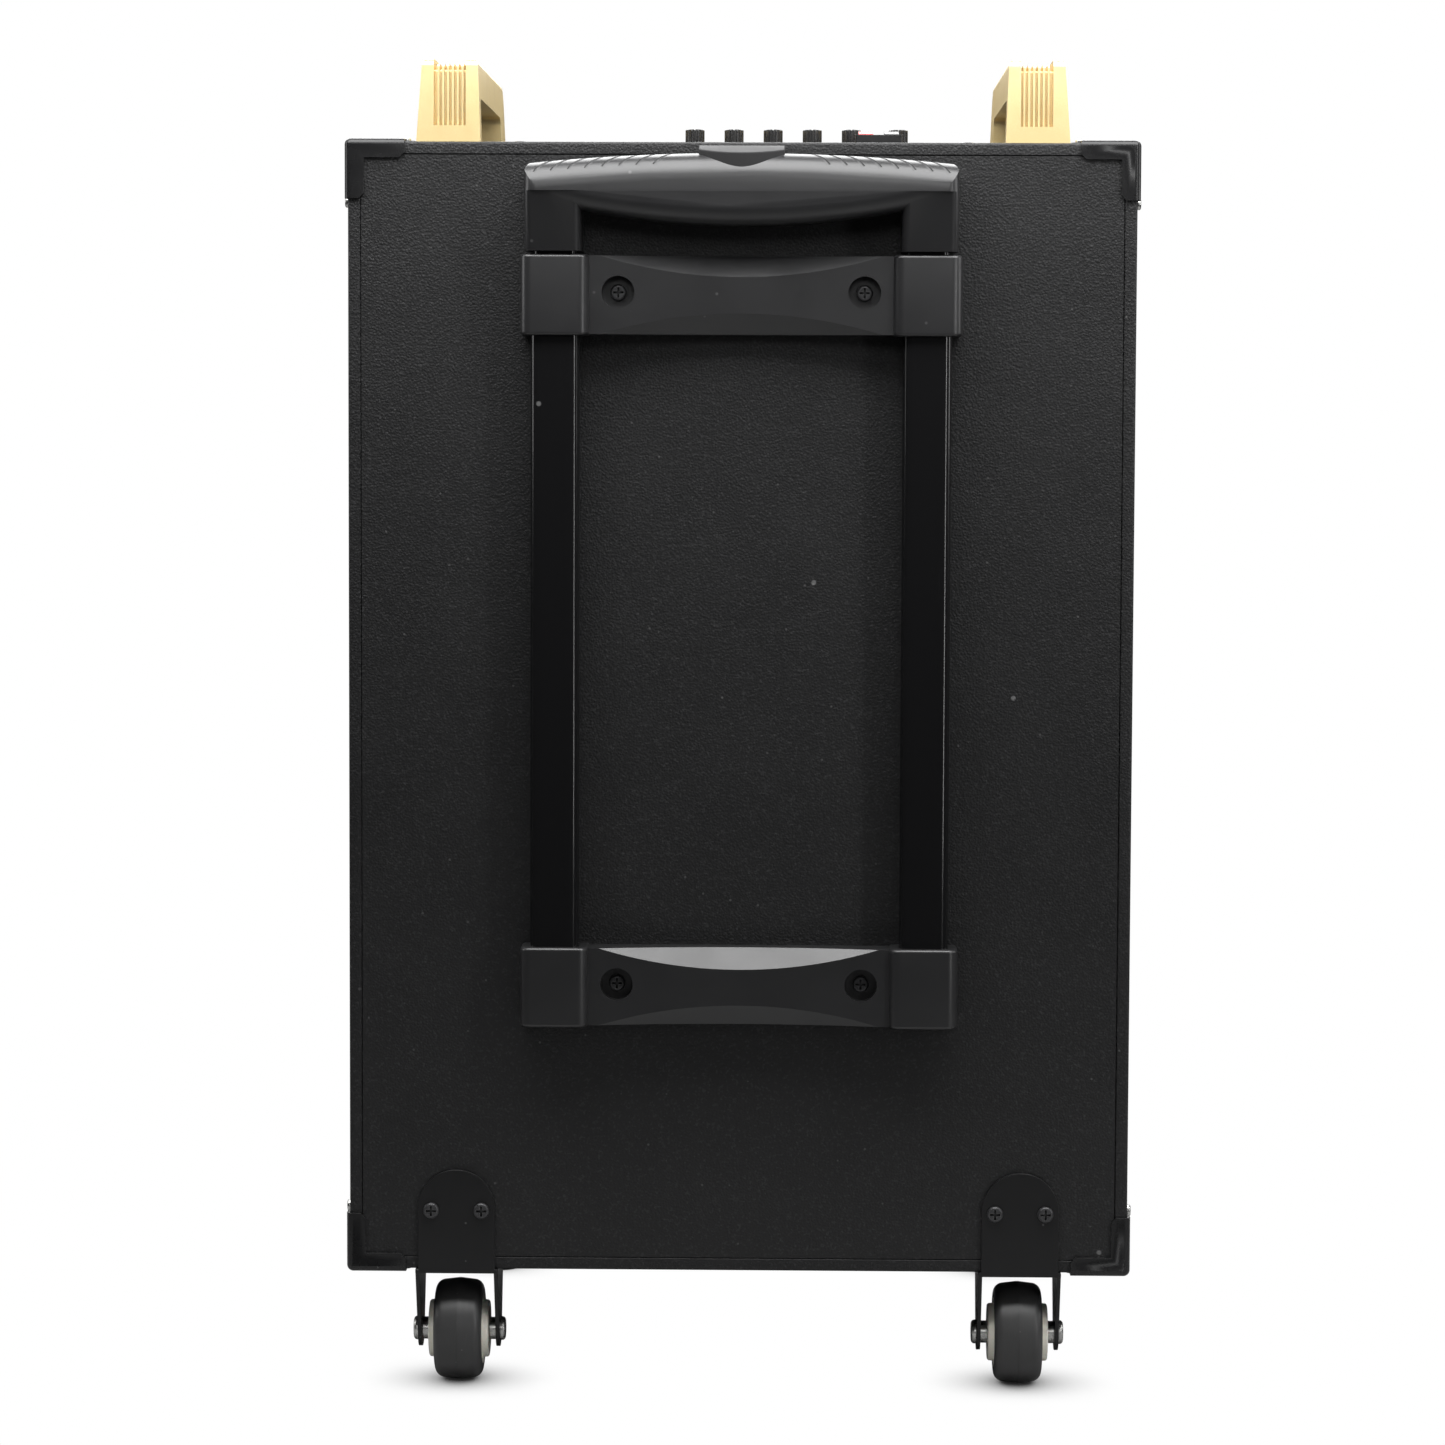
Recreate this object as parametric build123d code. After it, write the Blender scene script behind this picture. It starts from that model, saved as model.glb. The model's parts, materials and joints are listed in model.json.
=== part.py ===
"""Trolley party speaker: a vinyl-wrapped wooden cabinet with a 12 inch woofer and a horn tweeter,
a control panel and two gold carry handles on top, a telescopic pull handle on the back, two fixed
castors under the back edge and two tall feet under the front edge.

Row frame: +Z up, the front faces -Y and the pull handle is on +Y. The origin is on the floor, below
the middle of the whole object's bounding box. All values are millimetres.
"""

from build123d import *
from math import cos, hypot, pi, radians, sin, sqrt
import os

# ---------------------------------------------------------------- cabinet
CAB_W = 388.0  # outside width
CAB_D = 330.0  # outside depth
CAB_H = 560.0  # outside height
BASE_Z = 60.0  # underside of the cabinet above the floor
WALL = 12.0  # thickness of the wooden panels
LIP = 6.3  # edge of the wrap panels left showing round the back panel
SEAM = 0.25  # gap round the back panel
BAFFLE_SET = 16.0  # front baffle behind the front edges
BAFFLE_T = 15.0
GRILLE_SET = 1.5  # grille face behind the front edges

CORNER_T = 1.6  # corner protectors stand this far off the cabinet
GRIP_OUT = 33.0  # grip stands this far off the back

BACK_Y = (CAB_D + CORNER_T - GRIP_OUT) / 2  # puts the bounding box's middle at Y = 0
FRONT_Y = BACK_Y - CAB_D
MID_Y = BACK_Y - CAB_D / 2
TOP_Z = BASE_Z + CAB_H
HALF_W = CAB_W / 2
BAFFLE_Y = FRONT_Y + BAFFLE_SET  # front face of the baffle

# ---------------------------------------------------------------- drivers
WOOFER_Z = BASE_Z + 190.0
WOOFER_R = 153.0  # outside of the basket's flange
WOOFER_CUT_R = 139.0
BASKET_DEPTH = 78.0
HORN_Z = BASE_Z + 447.0
HORN_W, HORN_H = 176.0, 112.0  # flange
HORN_MOUTH_W, HORN_MOUTH_H = 150.0, 86.0
HORN_THROAT_R = 12.5
HORN_DEPTH, DRIVER_LENGTH = 62.0, 29.0
PORT_X, PORT_R, PORT_LENGTH = 134.0, 25.0, 110.0

# ---------------------------------------------------------------- pull handle
TUBE_X = 91.0  # centre of each tube from the middle
TUBE_W, TUBE_T, TUBE_WALL = 24.0, 14.0, 1.2
INNER_W, INNER_T, INNER_WALL = 21.0, 11.0, 1.0
TUBE_Y = BACK_Y + 12.0
SLEEVE_W, SLEEVE_H, SLEEVE_OUT = 33.6, 39.4, 23.0  # width, height, how far it stands off the back
BRIDGE_OUT = 18.0
UPPER_Z = BASE_Z + 465.0  # underside of the upper bracket
LOWER_Z = BASE_Z + 125.0  # underside of the lower bracket
SCOOP_HALF, SCOOP_DIP, SCOOP_SLOPE = 69.0, 10.2, 38.0  # half width, depth, and lean in degrees
RECESS_X, RECESS_R, RECESS_DEPTH = 60.2, 8.0, 7.0
GRIP_HALF = 105.5
GRIP_LEG_W, GRIP_LEG_OUT = 27.5, 23.5  # width of a leg, and how far it stands off the back
GRIP_LEG_Z = BASE_Z + 506.0  # underside of the legs
GRIP_BELLY_Z = BASE_Z + 518.3  # underside of the bar in the middle
GRIP_SEAM_Z = BASE_Z + 534.7  # joint between the two shells
GRIP_END_Z = BASE_Z + 548.6  # top of the grip at its ends
GRIP_TOP_Z = BASE_Z + 553.5  # top of the grip in the middle
GRIP_NEAR_Y, GRIP_FAR_Y = BACK_Y + 1.5, BACK_Y + GRIP_OUT
GRIP_BROW_R, GRIP_CHIN_R, GRIP_REAR_R = 13.0, 9.5, 5.0  # rounding of the bar's long edges
GRIP_BOW_R, GRIP_BELLY_R = 1050.0, 422.0  # radii of the bar's arched top and bellied underside
HANDLE_TRAVEL = 300.0
BUTTON_HALF, BUTTON_TRAVEL = 20.7, 5.0
BUTTON_LOW_Z, BUTTON_TOP_Z = GRIP_SEAM_Z + 9.9, GRIP_TOP_Z + 4.0
BUTTON_FRONT, BUTTON_CORNER = GRIP_FAR_Y - 1.6, GRIP_FAR_Y - 9.0  # front edge: middle, and at the sides
CROSSBAR_Z, CROSSBAR_T = GRIP_SEAM_Z + 1.0, 3.0
ROD_R = 1.6
PIN_R, PIN_Z = 3.0, BASE_Z + 150.0

# ---------------------------------------------------------------- castors and feet
CASTOR_X = 140.6
CASTOR_Y = BACK_Y - 22.0
WHEEL_R, TYRE_HALF, HUB_HALF = 25.5, 12.0, 15.0
RIM_R, HUB_FACE_R, AXLE_R = 17.5, 14.2, 4.0
STEEL = 2.0
PLATE_HALF = 19.2
FORK_HALF = 20.6
ARCH_Z = BASE_Z + 31.0  # centre of the plate's round top
FOOT_X, FOOT_Y = 140.0, FRONT_Y + 19.0
FOOT_SOLE_R, FOOT_TOP_R, FOOT_BORE_R = 12.0, 17.0, 5.0

# ---------------------------------------------------------------- top of the cabinet
CARRY_IN, CARRY_OUT = 130.0, 162.0  # inner and outer foot of the carry handle
CARRY_TOP_IN, CARRY_TOP_OUT = 131.5, 159.0
CARRY_H = 42.0
CARRY_Y1, CARRY_Y0 = BACK_Y - 19.0, BACK_Y - 19.0 - 195.0
CARRY_HOLE_H = 23.0
RIBS, RIBS_X, RIB_PITCH, RIB_T = 6, 138.6, 2.4, 1.0  # ribs in each channel, first, spacing, thickness
PANEL_X, PANEL_Y1, PANEL_Y0, PANEL_T = 118.0, BACK_Y - 60.0, BACK_Y - 200.0, 2.0
PANEL_Z = TOP_Z + PANEL_T
KNOB_X = (25.5, 5.5, -14.5, -34.5, -54.5, -78.5)
KNOB_NAMES = (
    "music_volume_knob",
    "bass_knob",
    "treble_knob",
    "mic_volume_knob",
    "echo_knob",
    "guitar_volume_knob",
)
KNOB_Y, KNOB_R, KNOB_H = BACK_Y - 95.0, 4.9, 9.6
SHAFT_R = 3.0
BUTTON_NAMES = ("mode_button", "previous_button", "play_button", "next_button")
BUTTON_X = (48.0, 64.0, 80.0, 96.0)
BUTTON_Y, BUTTON_SIDE, BUTTON_UP = BACK_Y - 150.0, 8.0, 2.4
TERMINAL_X, TERMINAL_Y, TERMINAL_W, TERMINAL_D, TERMINAL_H = -68.0, BACK_Y - 72.0, 24.5, 15.0, 5.7
LEVER_X = {"red_terminal_lever": -61.5, "black_terminal_lever": -74.5}
LEVER_W = 7.4
LEVER_PIVOT_Y, LEVER_PIVOT_Z = TERMINAL_Y + 5.0, PANEL_Z + 2.6
JACK_X, JACK_Y, JACK_BORE_R, JACK_BORE_L = (-12.0, -36.0), BACK_Y - 150.0, 3.25, 28.0
INLET_X = -62.0
ROCKER_X, ROCKER_Y, ROCKER_W, ROCKER_L = -92.0, BACK_Y - 148.0, 13.0, 19.0
ROCKER_REST = 6.0  # degrees, tilt of the rocker in its off position
ROCKER_PIVOT_Z, ROCKER_PIN_R = PANEL_Z - 2.5, 1.2
DISPLAY = (42.0, 104.0, BACK_Y - 106.0, BACK_Y - 80.0)  # x0, x1, y0, y1
MEDIA = (42.0, 104.0, BACK_Y - 132.0, BACK_Y - 114.0)
BOARD_Z = TOP_Z - 34.0
BATTERY_W, BATTERY_D, BATTERY_H, BATTERY_Y = 151.0, 65.0, 94.0, BACK_Y - 84.0

# ---------------------------------------------------------------- fasteners
SCREW_R, SCREW_HEAD_R, SCREW_HEAD_H = 1.9, 4.0, 2.4
DRILL = 0.05  # radial clearance of every screw hole
RUN = 0.06  # radial clearance of turning parts
SLIDE = 0.25  # side clearance of sliding plastic parts

nodes = {}


# ================================================================ small tools
def block(x0, x1, y0, y1, z0, z1):
    """Box between two corners."""
    middle = ((x0 + x1) / 2, (y0 + y1) / 2, (z0 + z1) / 2)
    return Pos(*middle) * Box(abs(x1 - x0), abs(y1 - y0), abs(z1 - z0))


def rod(start, direction, radius, length, top_radius=None):
    """Cylinder, or cone, from a point along a direction."""
    place = Plane(origin=start, z_dir=direction).location
    low = (Align.CENTER, Align.CENTER, Align.MIN)
    if top_radius is None:
        return place * Cylinder(radius, length, align=low)
    return place * Cone(radius, top_radius, length, align=low)


def along_y(sketch, y0, y1):
    """Extrude a sketch drawn in (X, Z) from y0 to y1."""
    drawn = Plane(origin=(0, y1, 0), x_dir=(1, 0, 0), z_dir=(0, -1, 0)) * sketch
    return extrude(drawn, y1 - y0, dir=(0, -1, 0))


def along_x(sketch, x0, x1):
    """Extrude a sketch drawn in (Y, Z) from x0 to x1."""
    drawn = Plane(origin=(x0, 0, 0), x_dir=(0, 1, 0), z_dir=(1, 0, 0)) * sketch
    return extrude(drawn, x1 - x0, dir=(1, 0, 0))


def along_z(sketch, z0, z1):
    """Extrude a sketch drawn in (X, Y) from z0 to z1."""
    return extrude(Plane.XY.offset(z0) * sketch, z1 - z0, dir=(0, 0, 1))


def polygon(*points):
    return Polygon(*points, align=None)


def spun_y(outline, x, z):
    """Turn a (radius, y) outline about the line through (x, z) along Y."""
    outline = Plane(origin=(x, 0, z), x_dir=(1, 0, 0), z_dir=(0, 0, 1)) * outline
    return revolve(outline, axis=Axis((x, 0, z), (0, 1, 0)))


def spun_x(points, y, z):
    """Turn an (x, radius) outline about the line through (y, z) along X."""
    outline = Plane(origin=(0, y, z), x_dir=(1, 0, 0), z_dir=(0, -1, 0)) * polygon(*points)
    return revolve(outline, axis=Axis((0, y, z), (1, 0, 0)))


def mirrored(shape):
    """The same shape on the other side of the middle plane X = 0."""
    return mirror(shape, about=Plane.YZ)


def both_sides(shape):
    return [shape, mirrored(shape)]


def gather(shapes):
    """Separate solids kept together as one node."""
    solids = []
    for shape in shapes:
        solids += shape.solids()
    return Compound(children=solids)


def rounded_box(x0, x1, y0, y1, z0, z1, radius, axis=Axis.Z):
    """Box with the edges along one axis rounded."""
    shape = block(x0, x1, y0, y1, z0, z1)
    return fillet(shape.edges().filter_by(axis), radius)


# ================================================================ screws
class Screw:
    """One wood screw: the seat is where its head's underside lands, and it points into the wood."""

    def __init__(self, seat, direction, length, flat=False, drills=(), radius=SCREW_R):
        self.seat = Vector(*seat)
        self.direction = Vector(*direction).normalized()
        self.length = length
        self.flat = flat
        self.drills = drills
        self.radius = radius

    def body(self):
        back = self.direction * -1
        head_r = SCREW_HEAD_R * self.radius / SCREW_R
        head_h = SCREW_HEAD_H * self.radius / SCREW_R
        place = Plane(origin=self.seat, z_dir=back).location
        low = (Align.CENTER, Align.CENTER, Align.MIN)
        if self.flat:
            head = place * Cone(self.radius, head_r, head_h * 0.7, align=low)
            top = head_h * 0.7
        else:
            head = Cylinder(head_r, head_h, align=low)
            head = place * fillet(head.edges().group_by(Axis.Z)[-1], head_h * 0.55)
            top = head_h
        shank = rod(self.seat, self.direction, self.radius, self.length - self.radius)
        tip = self.seat + self.direction * (self.length - self.radius)
        point = rod(tip, self.direction, self.radius, self.radius, 0.3)
        screw = head + shank + point
        for turn in (0, 90):
            bar = Rot(0, 0, turn) * Box(head_r * 1.3, head_r * 0.3, head_h, align=low)
            screw -= place * (Pos(0, 0, top - head_h * 0.55) * bar)
        return screw

    def hole(self):
        start = self.seat - self.direction * 0.01
        shape = rod(start, self.direction, self.radius + DRILL, self.length + 0.5)
        if self.flat:
            back = self.direction * -1
            grow = SCREW_HEAD_R * self.radius / SCREW_R + 4 * DRILL
            depth = SCREW_HEAD_H * self.radius / SCREW_R * 0.7
            shape += rod(self.seat, back, self.radius + 3 * DRILL, depth + 0.02, grow)
        return shape


def add_screws(name, screws):
    nodes[name] = gather([s.body() for s in screws])
    for s in screws:
        for target in s.drills:
            nodes[target] = nodes[target] - s.hole()


# ================================================================ cabinet panels
def wrap_panels():
    """Four mitred panels round the cabinet, rebated at the back for the back panel."""
    rebate = block(-HALF_W + LIP, HALF_W - LIP, BACK_Y - WALL, BACK_Y, BASE_Z + LIP, TOP_Z - LIP)
    inner_w, low, high = HALF_W - WALL, BASE_Z + WALL, TOP_Z - WALL
    top = polygon((-HALF_W, TOP_Z), (-inner_w, high), (inner_w, high), (HALF_W, TOP_Z))
    bottom = polygon((-HALF_W, BASE_Z), (HALF_W, BASE_Z), (inner_w, low), (-inner_w, low))
    side = polygon((HALF_W, BASE_Z), (HALF_W, TOP_Z), (inner_w, high), (inner_w, low))
    nodes["top_panel"] = along_y(top, FRONT_Y, BACK_Y) - rebate
    nodes["bottom_panel"] = along_y(bottom, FRONT_Y, BACK_Y) - rebate
    nodes["side_panels"] = gather(both_sides(along_y(side, FRONT_Y, BACK_Y) - rebate))
    module_cut = block(-PANEL_X + 10, PANEL_X - 10, PANEL_Y0 + 10, PANEL_Y1 - 10, high - 1, TOP_Z + 1)
    nodes["top_panel"] -= module_cut


def back_panel():
    edge = LIP + SEAM
    nodes["back_panel"] = block(
        -HALF_W + edge, HALF_W - edge, BACK_Y - WALL + SEAM, BACK_Y, BASE_Z + edge, TOP_Z - edge
    )


def front_baffle():
    inner_w, low, high = HALF_W - WALL, BASE_Z + WALL, TOP_Z - WALL
    board = block(-inner_w, inner_w, BAFFLE_Y, BAFFLE_Y + BAFFLE_T, low, high)
    board -= rod((0, BAFFLE_Y - 1, WOOFER_Z), (0, 1, 0), WOOFER_CUT_R, BAFFLE_T + 2)
    half_w, half_h = HORN_MOUTH_W / 2 + 4, HORN_MOUTH_H / 2 + 4
    y0, y1 = BAFFLE_Y - 1, BAFFLE_Y + BAFFLE_T + 1
    board -= block(-half_w, half_w, y0, y1, HORN_Z - half_h, HORN_Z + half_h)
    for side in (-1, 1):
        board -= rod((side * PORT_X, y0, HORN_Z), (0, 1, 0), PORT_R + 2.6, BAFFLE_T + 2)
    nodes["front_baffle"] = board


def corner_protector():
    """Pressed steel corner for the top, back, +X corner; its three plates are STEEL thick."""
    t, reach, strip, lobe = CORNER_T, 28.0, 8.0, 35.0
    outer = block(HALF_W - lobe, HALF_W + t, BACK_Y - lobe, BACK_Y + t, TOP_Z - lobe, TOP_Z + t)
    near = outer.edges().filter_by(
        lambda e: sum(
            abs(a - b) < 0.01
            for a, b in zip(tuple(e.center()), (HALF_W + t, BACK_Y + t, TOP_Z + t))
        )
        == 2
    )
    outer = fillet(near, 3.2)
    shell = outer - block(
        HALF_W - 2 * lobe, HALF_W, BACK_Y - 2 * lobe, BACK_Y, TOP_Z - 2 * lobe, TOP_Z
    )

    def ell(width, length, bevel):
        """L outline in the corner of the quadrant, with its outer corner at the origin."""
        p = [(t, t), (t, -length), (-width + bevel, -length - 0.0), (-width, -length + bevel)]
        q = [(-width, -width), (-length + bevel, -width), (-length, -width + bevel), (-length, t)]
        return polygon(*(p + q))

    def lobed():
        """L outline with a rounded screw tab on one leg."""
        tab = Pos(-15, -reach + 1) * Circle(5.5)
        tab += Pos(-reach + 1, -15) * Circle(5.5)
        return ell(17.0, reach, 5.0) + tab

    back = along_y(Pos(HALF_W, TOP_Z) * ell(strip, reach, 2.5), BACK_Y - 4, BACK_Y + t + 1)
    side = along_x(Pos(BACK_Y, TOP_Z) * lobed(), HALF_W - 4, HALF_W + t + 1)
    top = along_z(Pos(HALF_W, BACK_Y) * lobed(), TOP_Z - 4, TOP_Z + t + 1)
    # the wide lobes are pressed thinner than the strips that wrap the edges
    thin = 0.9
    body = shell & (back + side + top)
    body -= block(
        HALF_W + thin, HALF_W + 9, BACK_Y - 2 * lobe, BACK_Y - strip, TOP_Z - 2 * lobe, TOP_Z - strip
    )
    body -= block(
        HALF_W - 2 * lobe, HALF_W - strip, BACK_Y - 2 * lobe, BACK_Y - strip, TOP_Z + thin, TOP_Z + 9
    )
    return body.solids().sort_by(SortBy.VOLUME)[-1]


def corner_set():
    """The eight protectors, and their sixteen screws."""
    first = corner_protector()
    middle = Plane.XY.offset(BASE_Z + CAB_H / 2)
    half_way = Plane(origin=(0, MID_Y, 0), z_dir=(0, 1, 0))
    quarter = both_sides(first)
    quarter += [mirror(s, about=half_way) for s in quarter]
    nodes["corner_protectors"] = gather(quarter + [mirror(s, about=middle) for s in quarter])
    screws = []
    for sx in (-1, 1):
        for sy in (-1, 1):
            for sz, wall in ((-1, "bottom_panel"), (1, "top_panel")):
                face_z = BASE_Z - 0.9 if sz < 0 else TOP_Z + 0.9
                y = MID_Y + sy * (CAB_D / 2 - 15)
                on_top = (sx * (HALF_W - 27), y, face_z)
                down = (0, 0, -sz)
                screws.append(Screw(on_top, down, 9, drills=("corner_protectors", wall), radius=1.4))
                z = BASE_Z + 29 if sz < 0 else TOP_Z - 29
                on_side = (sx * (HALF_W + 0.9), y, z)
                both = ("corner_protectors", "side_panels")
                screws.append(Screw(on_side, (-sx, 0, 0), 9, drills=both, radius=1.4))
    add_screws("corner_screws", screws)


# ================================================================ drivers, grille and ports
def woofer():
    """Basket, magnet, moving cone and its suspension, on a line along Y."""
    y = BAFFLE_Y
    rear = y + BASKET_DEPTH
    wall = [(WOOFER_R, y - 4), (WOOFER_R, y), (136, y), (128, y + 26), (66, rear), (34, rear)]
    wall += [(34, rear - 3), (64, rear - 3), (125, y + 24), (133, y - 1.5), (145, y - 1.5), (145, y - 4)]
    basket = spun_y(polygon(*wall), 0, WOOFER_Z)
    for k in range(6):
        window = block(-17, 17, y + 28, rear - 4, 70, 122)
        window = Rot(0, 60 * k, 0) * fillet(window.edges().filter_by(Axis.Y), 8)
        basket -= Pos(0, 0, WOOFER_Z) * window
    ledge = [(68, y + 66.5), (78, y + 66.5), (74, y + 68), (68, y + 68)]
    nodes["woofer_basket"] = basket + spun_y(polygon(*ledge), 0, WOOFER_Z)

    gap_in, gap_out = 23.5, 28.0
    ferrite = [(34.5, rear + 6), (70, rear + 6), (70, rear + 26), (34.5, rear + 26)]
    front_plate = [(gap_out, rear), (62, rear), (62, rear + 6), (gap_out, rear + 6)]
    yoke = [(6, rear - 2), (gap_in, rear - 2), (gap_in, rear + 26), (66, rear + 26)]
    yoke += [(66, rear + 32), (6, rear + 32)]
    nodes["woofer_magnet"] = gather(
        [spun_y(polygon(*part), 0, WOOFER_Z) for part in (ferrite, front_plate, yoke)]
    )

    cone = [(124, y + 3), (124, y + 4.6), (38, y + 47), (25.9, y + 50), (25.9, y + 48.4), (37, y + 45.4)]
    dome_r, dome_y = 46.0, y + 45.0 + 46.0 * cos(radians(55))
    cap = [
        (dome_r * sin(radians(a)), dome_y - dome_r * cos(radians(a))) for a in range(55, -1, -5)
    ]
    shell = dome_r - 1.0
    cap += [(shell * sin(radians(a)), dome_y - shell * cos(radians(a))) for a in range(0, 55, 5)]
    former = [(25.0, y + 52), (25.8, y + 52), (25.8, rear + 12), (25.0, rear + 12)]
    neck = [(25.0, y + 46.5), (25.85, y + 46.5), (25.85, y + 52), (25.0, y + 52)]
    cone, cap, former, neck = [
        spun_y(polygon(*part), 0, WOOFER_Z) for part in (cone, cap, former, neck)
    ]
    nodes["woofer_cone"] = gather([cone, cap, former + neck])

    def roll(r0, r1, height, thick, base_y, towards):
        """Half-round roll between two radii."""
        mid, half = (r0 + r1) / 2, (r1 - r0) / 2
        steps = [k * pi / 12 for k in range(13)]
        out = [(mid - half * cos(a), base_y + towards * height * sin(a)) for a in steps]
        half_in = half - thick
        back = [
            (mid + half_in * cos(a), base_y + towards * (height - thick) * sin(a)) for a in steps
        ]
        return out + back

    surround = spun_y(polygon(*roll(124.2, 144.8, 7.5, 1.2, y - 1.6, -1)), 0, WOOFER_Z)
    lip = polygon((122.5, y + 1.4), (125.4, y + 1.4), (125.4, y - 1.6), (124.2, y - 1.6))
    lip = spun_y(lip, 0, WOOFER_Z)
    level = y + 68.45
    waves = [(26.0, level)] + [(28 + 2.0 * k, level + (1.6 if k % 2 else -1.6)) for k in range(19)]
    waves += [(67.0, level), (70.8, level)]
    spider = [(r, v + 0.4) for r, v in waves] + [(r, v - 0.4) for r, v in reversed(waves)]
    nodes["woofer_suspension"] = gather([surround + lip, spun_y(polygon(*spider), 0, WOOFER_Z)])


def horn():
    """Rectangular flared horn and its compression driver."""
    y = BAFFLE_Y
    half_w, half_h = HORN_W / 2, HORN_H / 2
    flange = rounded_box(-half_w, half_w, y - 4, y, HORN_Z - half_h, HORN_Z + half_h, 8, Axis.Y)

    def flare(grow, y0, y1):
        """Loft from the rectangular mouth to the round throat."""
        width, height = HORN_MOUTH_W + 2 * grow, HORN_MOUTH_H + 2 * grow
        front = Plane(origin=(0, y0, HORN_Z), x_dir=(1, 0, 0), z_dir=(0, 1, 0))
        waist = Plane(origin=(0, y0 + (y1 - y0) * 0.55, HORN_Z), x_dir=(1, 0, 0), z_dir=(0, 1, 0))
        back = Plane(origin=(0, y1, HORN_Z), x_dir=(1, 0, 0), z_dir=(0, 1, 0))
        throat = 2 * (HORN_THROAT_R + grow)
        return loft(
            [
                front * RectangleRounded(width, height, 9),
                waist * RectangleRounded(width * 0.5, height * 0.58, 9),
                back * RectangleRounded(throat, throat, throat * 0.45),
            ]
        )

    body = flange + flare(3.0, y - 1, y + HORN_DEPTH)
    body -= flare(0.0, y - 4.5, y + HORN_DEPTH + 0.5)
    body += rod((0, y + HORN_DEPTH - 4, HORN_Z), (0, 1, 0), 24, 4) - rod(
        (0, y + HORN_DEPTH - 5, HORN_Z), (0, 1, 0), HORN_THROAT_R + 2, 6
    )
    nodes["tweeter_horn"] = body.solids().sort_by(SortBy.VOLUME)[-1]
    back = y + HORN_DEPTH
    case = rod((0, back, HORN_Z), (0, 1, 0), 31, 9)
    case += rod((0, back + 9, HORN_Z), (0, 1, 0), 36, DRIVER_LENGTH - 9)
    nodes["tweeter_driver"] = case - rod((0, back - 1, HORN_Z), (0, 1, 0), HORN_THROAT_R, 8)


def grille_and_ports():
    """Steel front grille, drawn as a plain pan, and the two bass ports."""
    edge, sheet = 1.2, 1.2
    half = HALF_W - WALL - edge
    low, high = BASE_Z + WALL + edge, TOP_Z - WALL - edge
    face_y = FRONT_Y + GRILLE_SET
    outer = rounded_box(-half, half, face_y, BAFFLE_Y, low, high, 9, Axis.Y)
    front_edges = outer.edges().group_by(Axis.Y)[0]
    outer = fillet(front_edges, 2.4)
    inside = rounded_box(
        -half + sheet, half - sheet, face_y + sheet, BAFFLE_Y + 1, low + sheet, high - sheet, 7.8, Axis.Y
    )
    nodes["front_grille"] = outer - inside
    tubes = []
    for side in (-1, 1):
        x, y = side * PORT_X, BAFFLE_Y
        tube = [(PORT_R, y - 2.5), (PORT_R + 9, y - 2.5), (PORT_R + 9, y), (PORT_R + 2.5, y)]
        tube += [(PORT_R + 2.5, y + PORT_LENGTH), (PORT_R, y + PORT_LENGTH)]
        tubes.append(spun_y(polygon(*tube), x, HORN_Z))
    nodes["bass_ports"] = gather(tubes)


# ================================================================ carry handles
def carry_handle():
    """Gold moulded handle on the +X side: two feet, a top bar, and a ribbed channel over its spine."""
    z0, z1 = TOP_Z, TOP_Z + CARRY_H

    def side(by, low):
        """Side outline from a height up, moved in by a distance on its three upper sides."""
        front, back = CARRY_Y0 + by, CARRY_Y1 - by
        top = z1 - by
        shape = polygon((front, low), (back, low), (back - 1.2, top), (front + 8.0, top))
        upper = shape.vertices().group_by(Axis.Y)[-1]
        shape = fillet(upper.sort_by(Axis.X)[-1:], max(4.0 - by, 1.0))
        upper = shape.vertices().group_by(Axis.Y)[-1]
        return fillet(upper.sort_by(Axis.X)[:1], 15.0 - by)

    hole = polygon(
        (CARRY_Y0 + 34, z0 - 5),
        (CARRY_Y1 - 12, z0 - 5),
        (CARRY_Y1 - 12, z0 + CARRY_HOLE_H),
        (CARRY_Y0 + 38, z0 + CARRY_HOLE_H),
    )
    hole = fillet(hole.vertices().group_by(Axis.Y)[-1], 5.0)
    across = polygon(
        (CARRY_IN, z0), (CARRY_OUT, z0), (CARRY_TOP_OUT, z1), (CARRY_TOP_IN, z1)
    )
    across = fillet(across.vertices().group_by(Axis.Y)[-1], 3.0)
    body = along_x(side(0, z0), CARRY_IN - 1, CARRY_OUT + 1) & along_y(across, CARRY_Y0 - 1, CARRY_Y1 + 1)
    body -= along_x(hole, CARRY_IN - 2, CARRY_OUT + 2)
    # the channel starts above the feet and holds the ribs
    ring = along_x(side(0, z0) - side(5.2, z0 - 9), RIBS_X - 1.3, RIBS_X + RIBS * RIB_PITCH + 0.3)
    ring &= block(0, HALF_W, CARRY_Y0 - 1, CARRY_Y1 + 1, z0 + 9, z1 + 1)
    body -= ring
    rib_ring = side(2.4, z0 - 9) - side(5.3, z0 - 9)
    for k in range(RIBS):
        x = RIBS_X + RIB_PITCH * k
        rib = along_x(rib_ring, x, x + RIB_T)
        body += rib & block(0, HALF_W, CARRY_Y0 - 1, CARRY_Y1 + 1, z0 + 8.9, z1 + 1)
    return body


def carry_handles():
    nodes["carry_handles"] = gather(both_sides(carry_handle()))


# ================================================================ pull handle
def tube_profile(width, thick, radius):
    return RectangleRounded(width, thick, radius)


def hollow_tube(width, thick, wall, radius, z0, z1):
    """Rounded rectangular tube round the +X tube line."""
    outline = tube_profile(width, thick, radius) - tube_profile(
        width - 2 * wall, thick - 2 * wall, radius - wall
    )
    return Pos(TUBE_X, TUBE_Y, 0) * along_z(outline, z0, z1)


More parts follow.
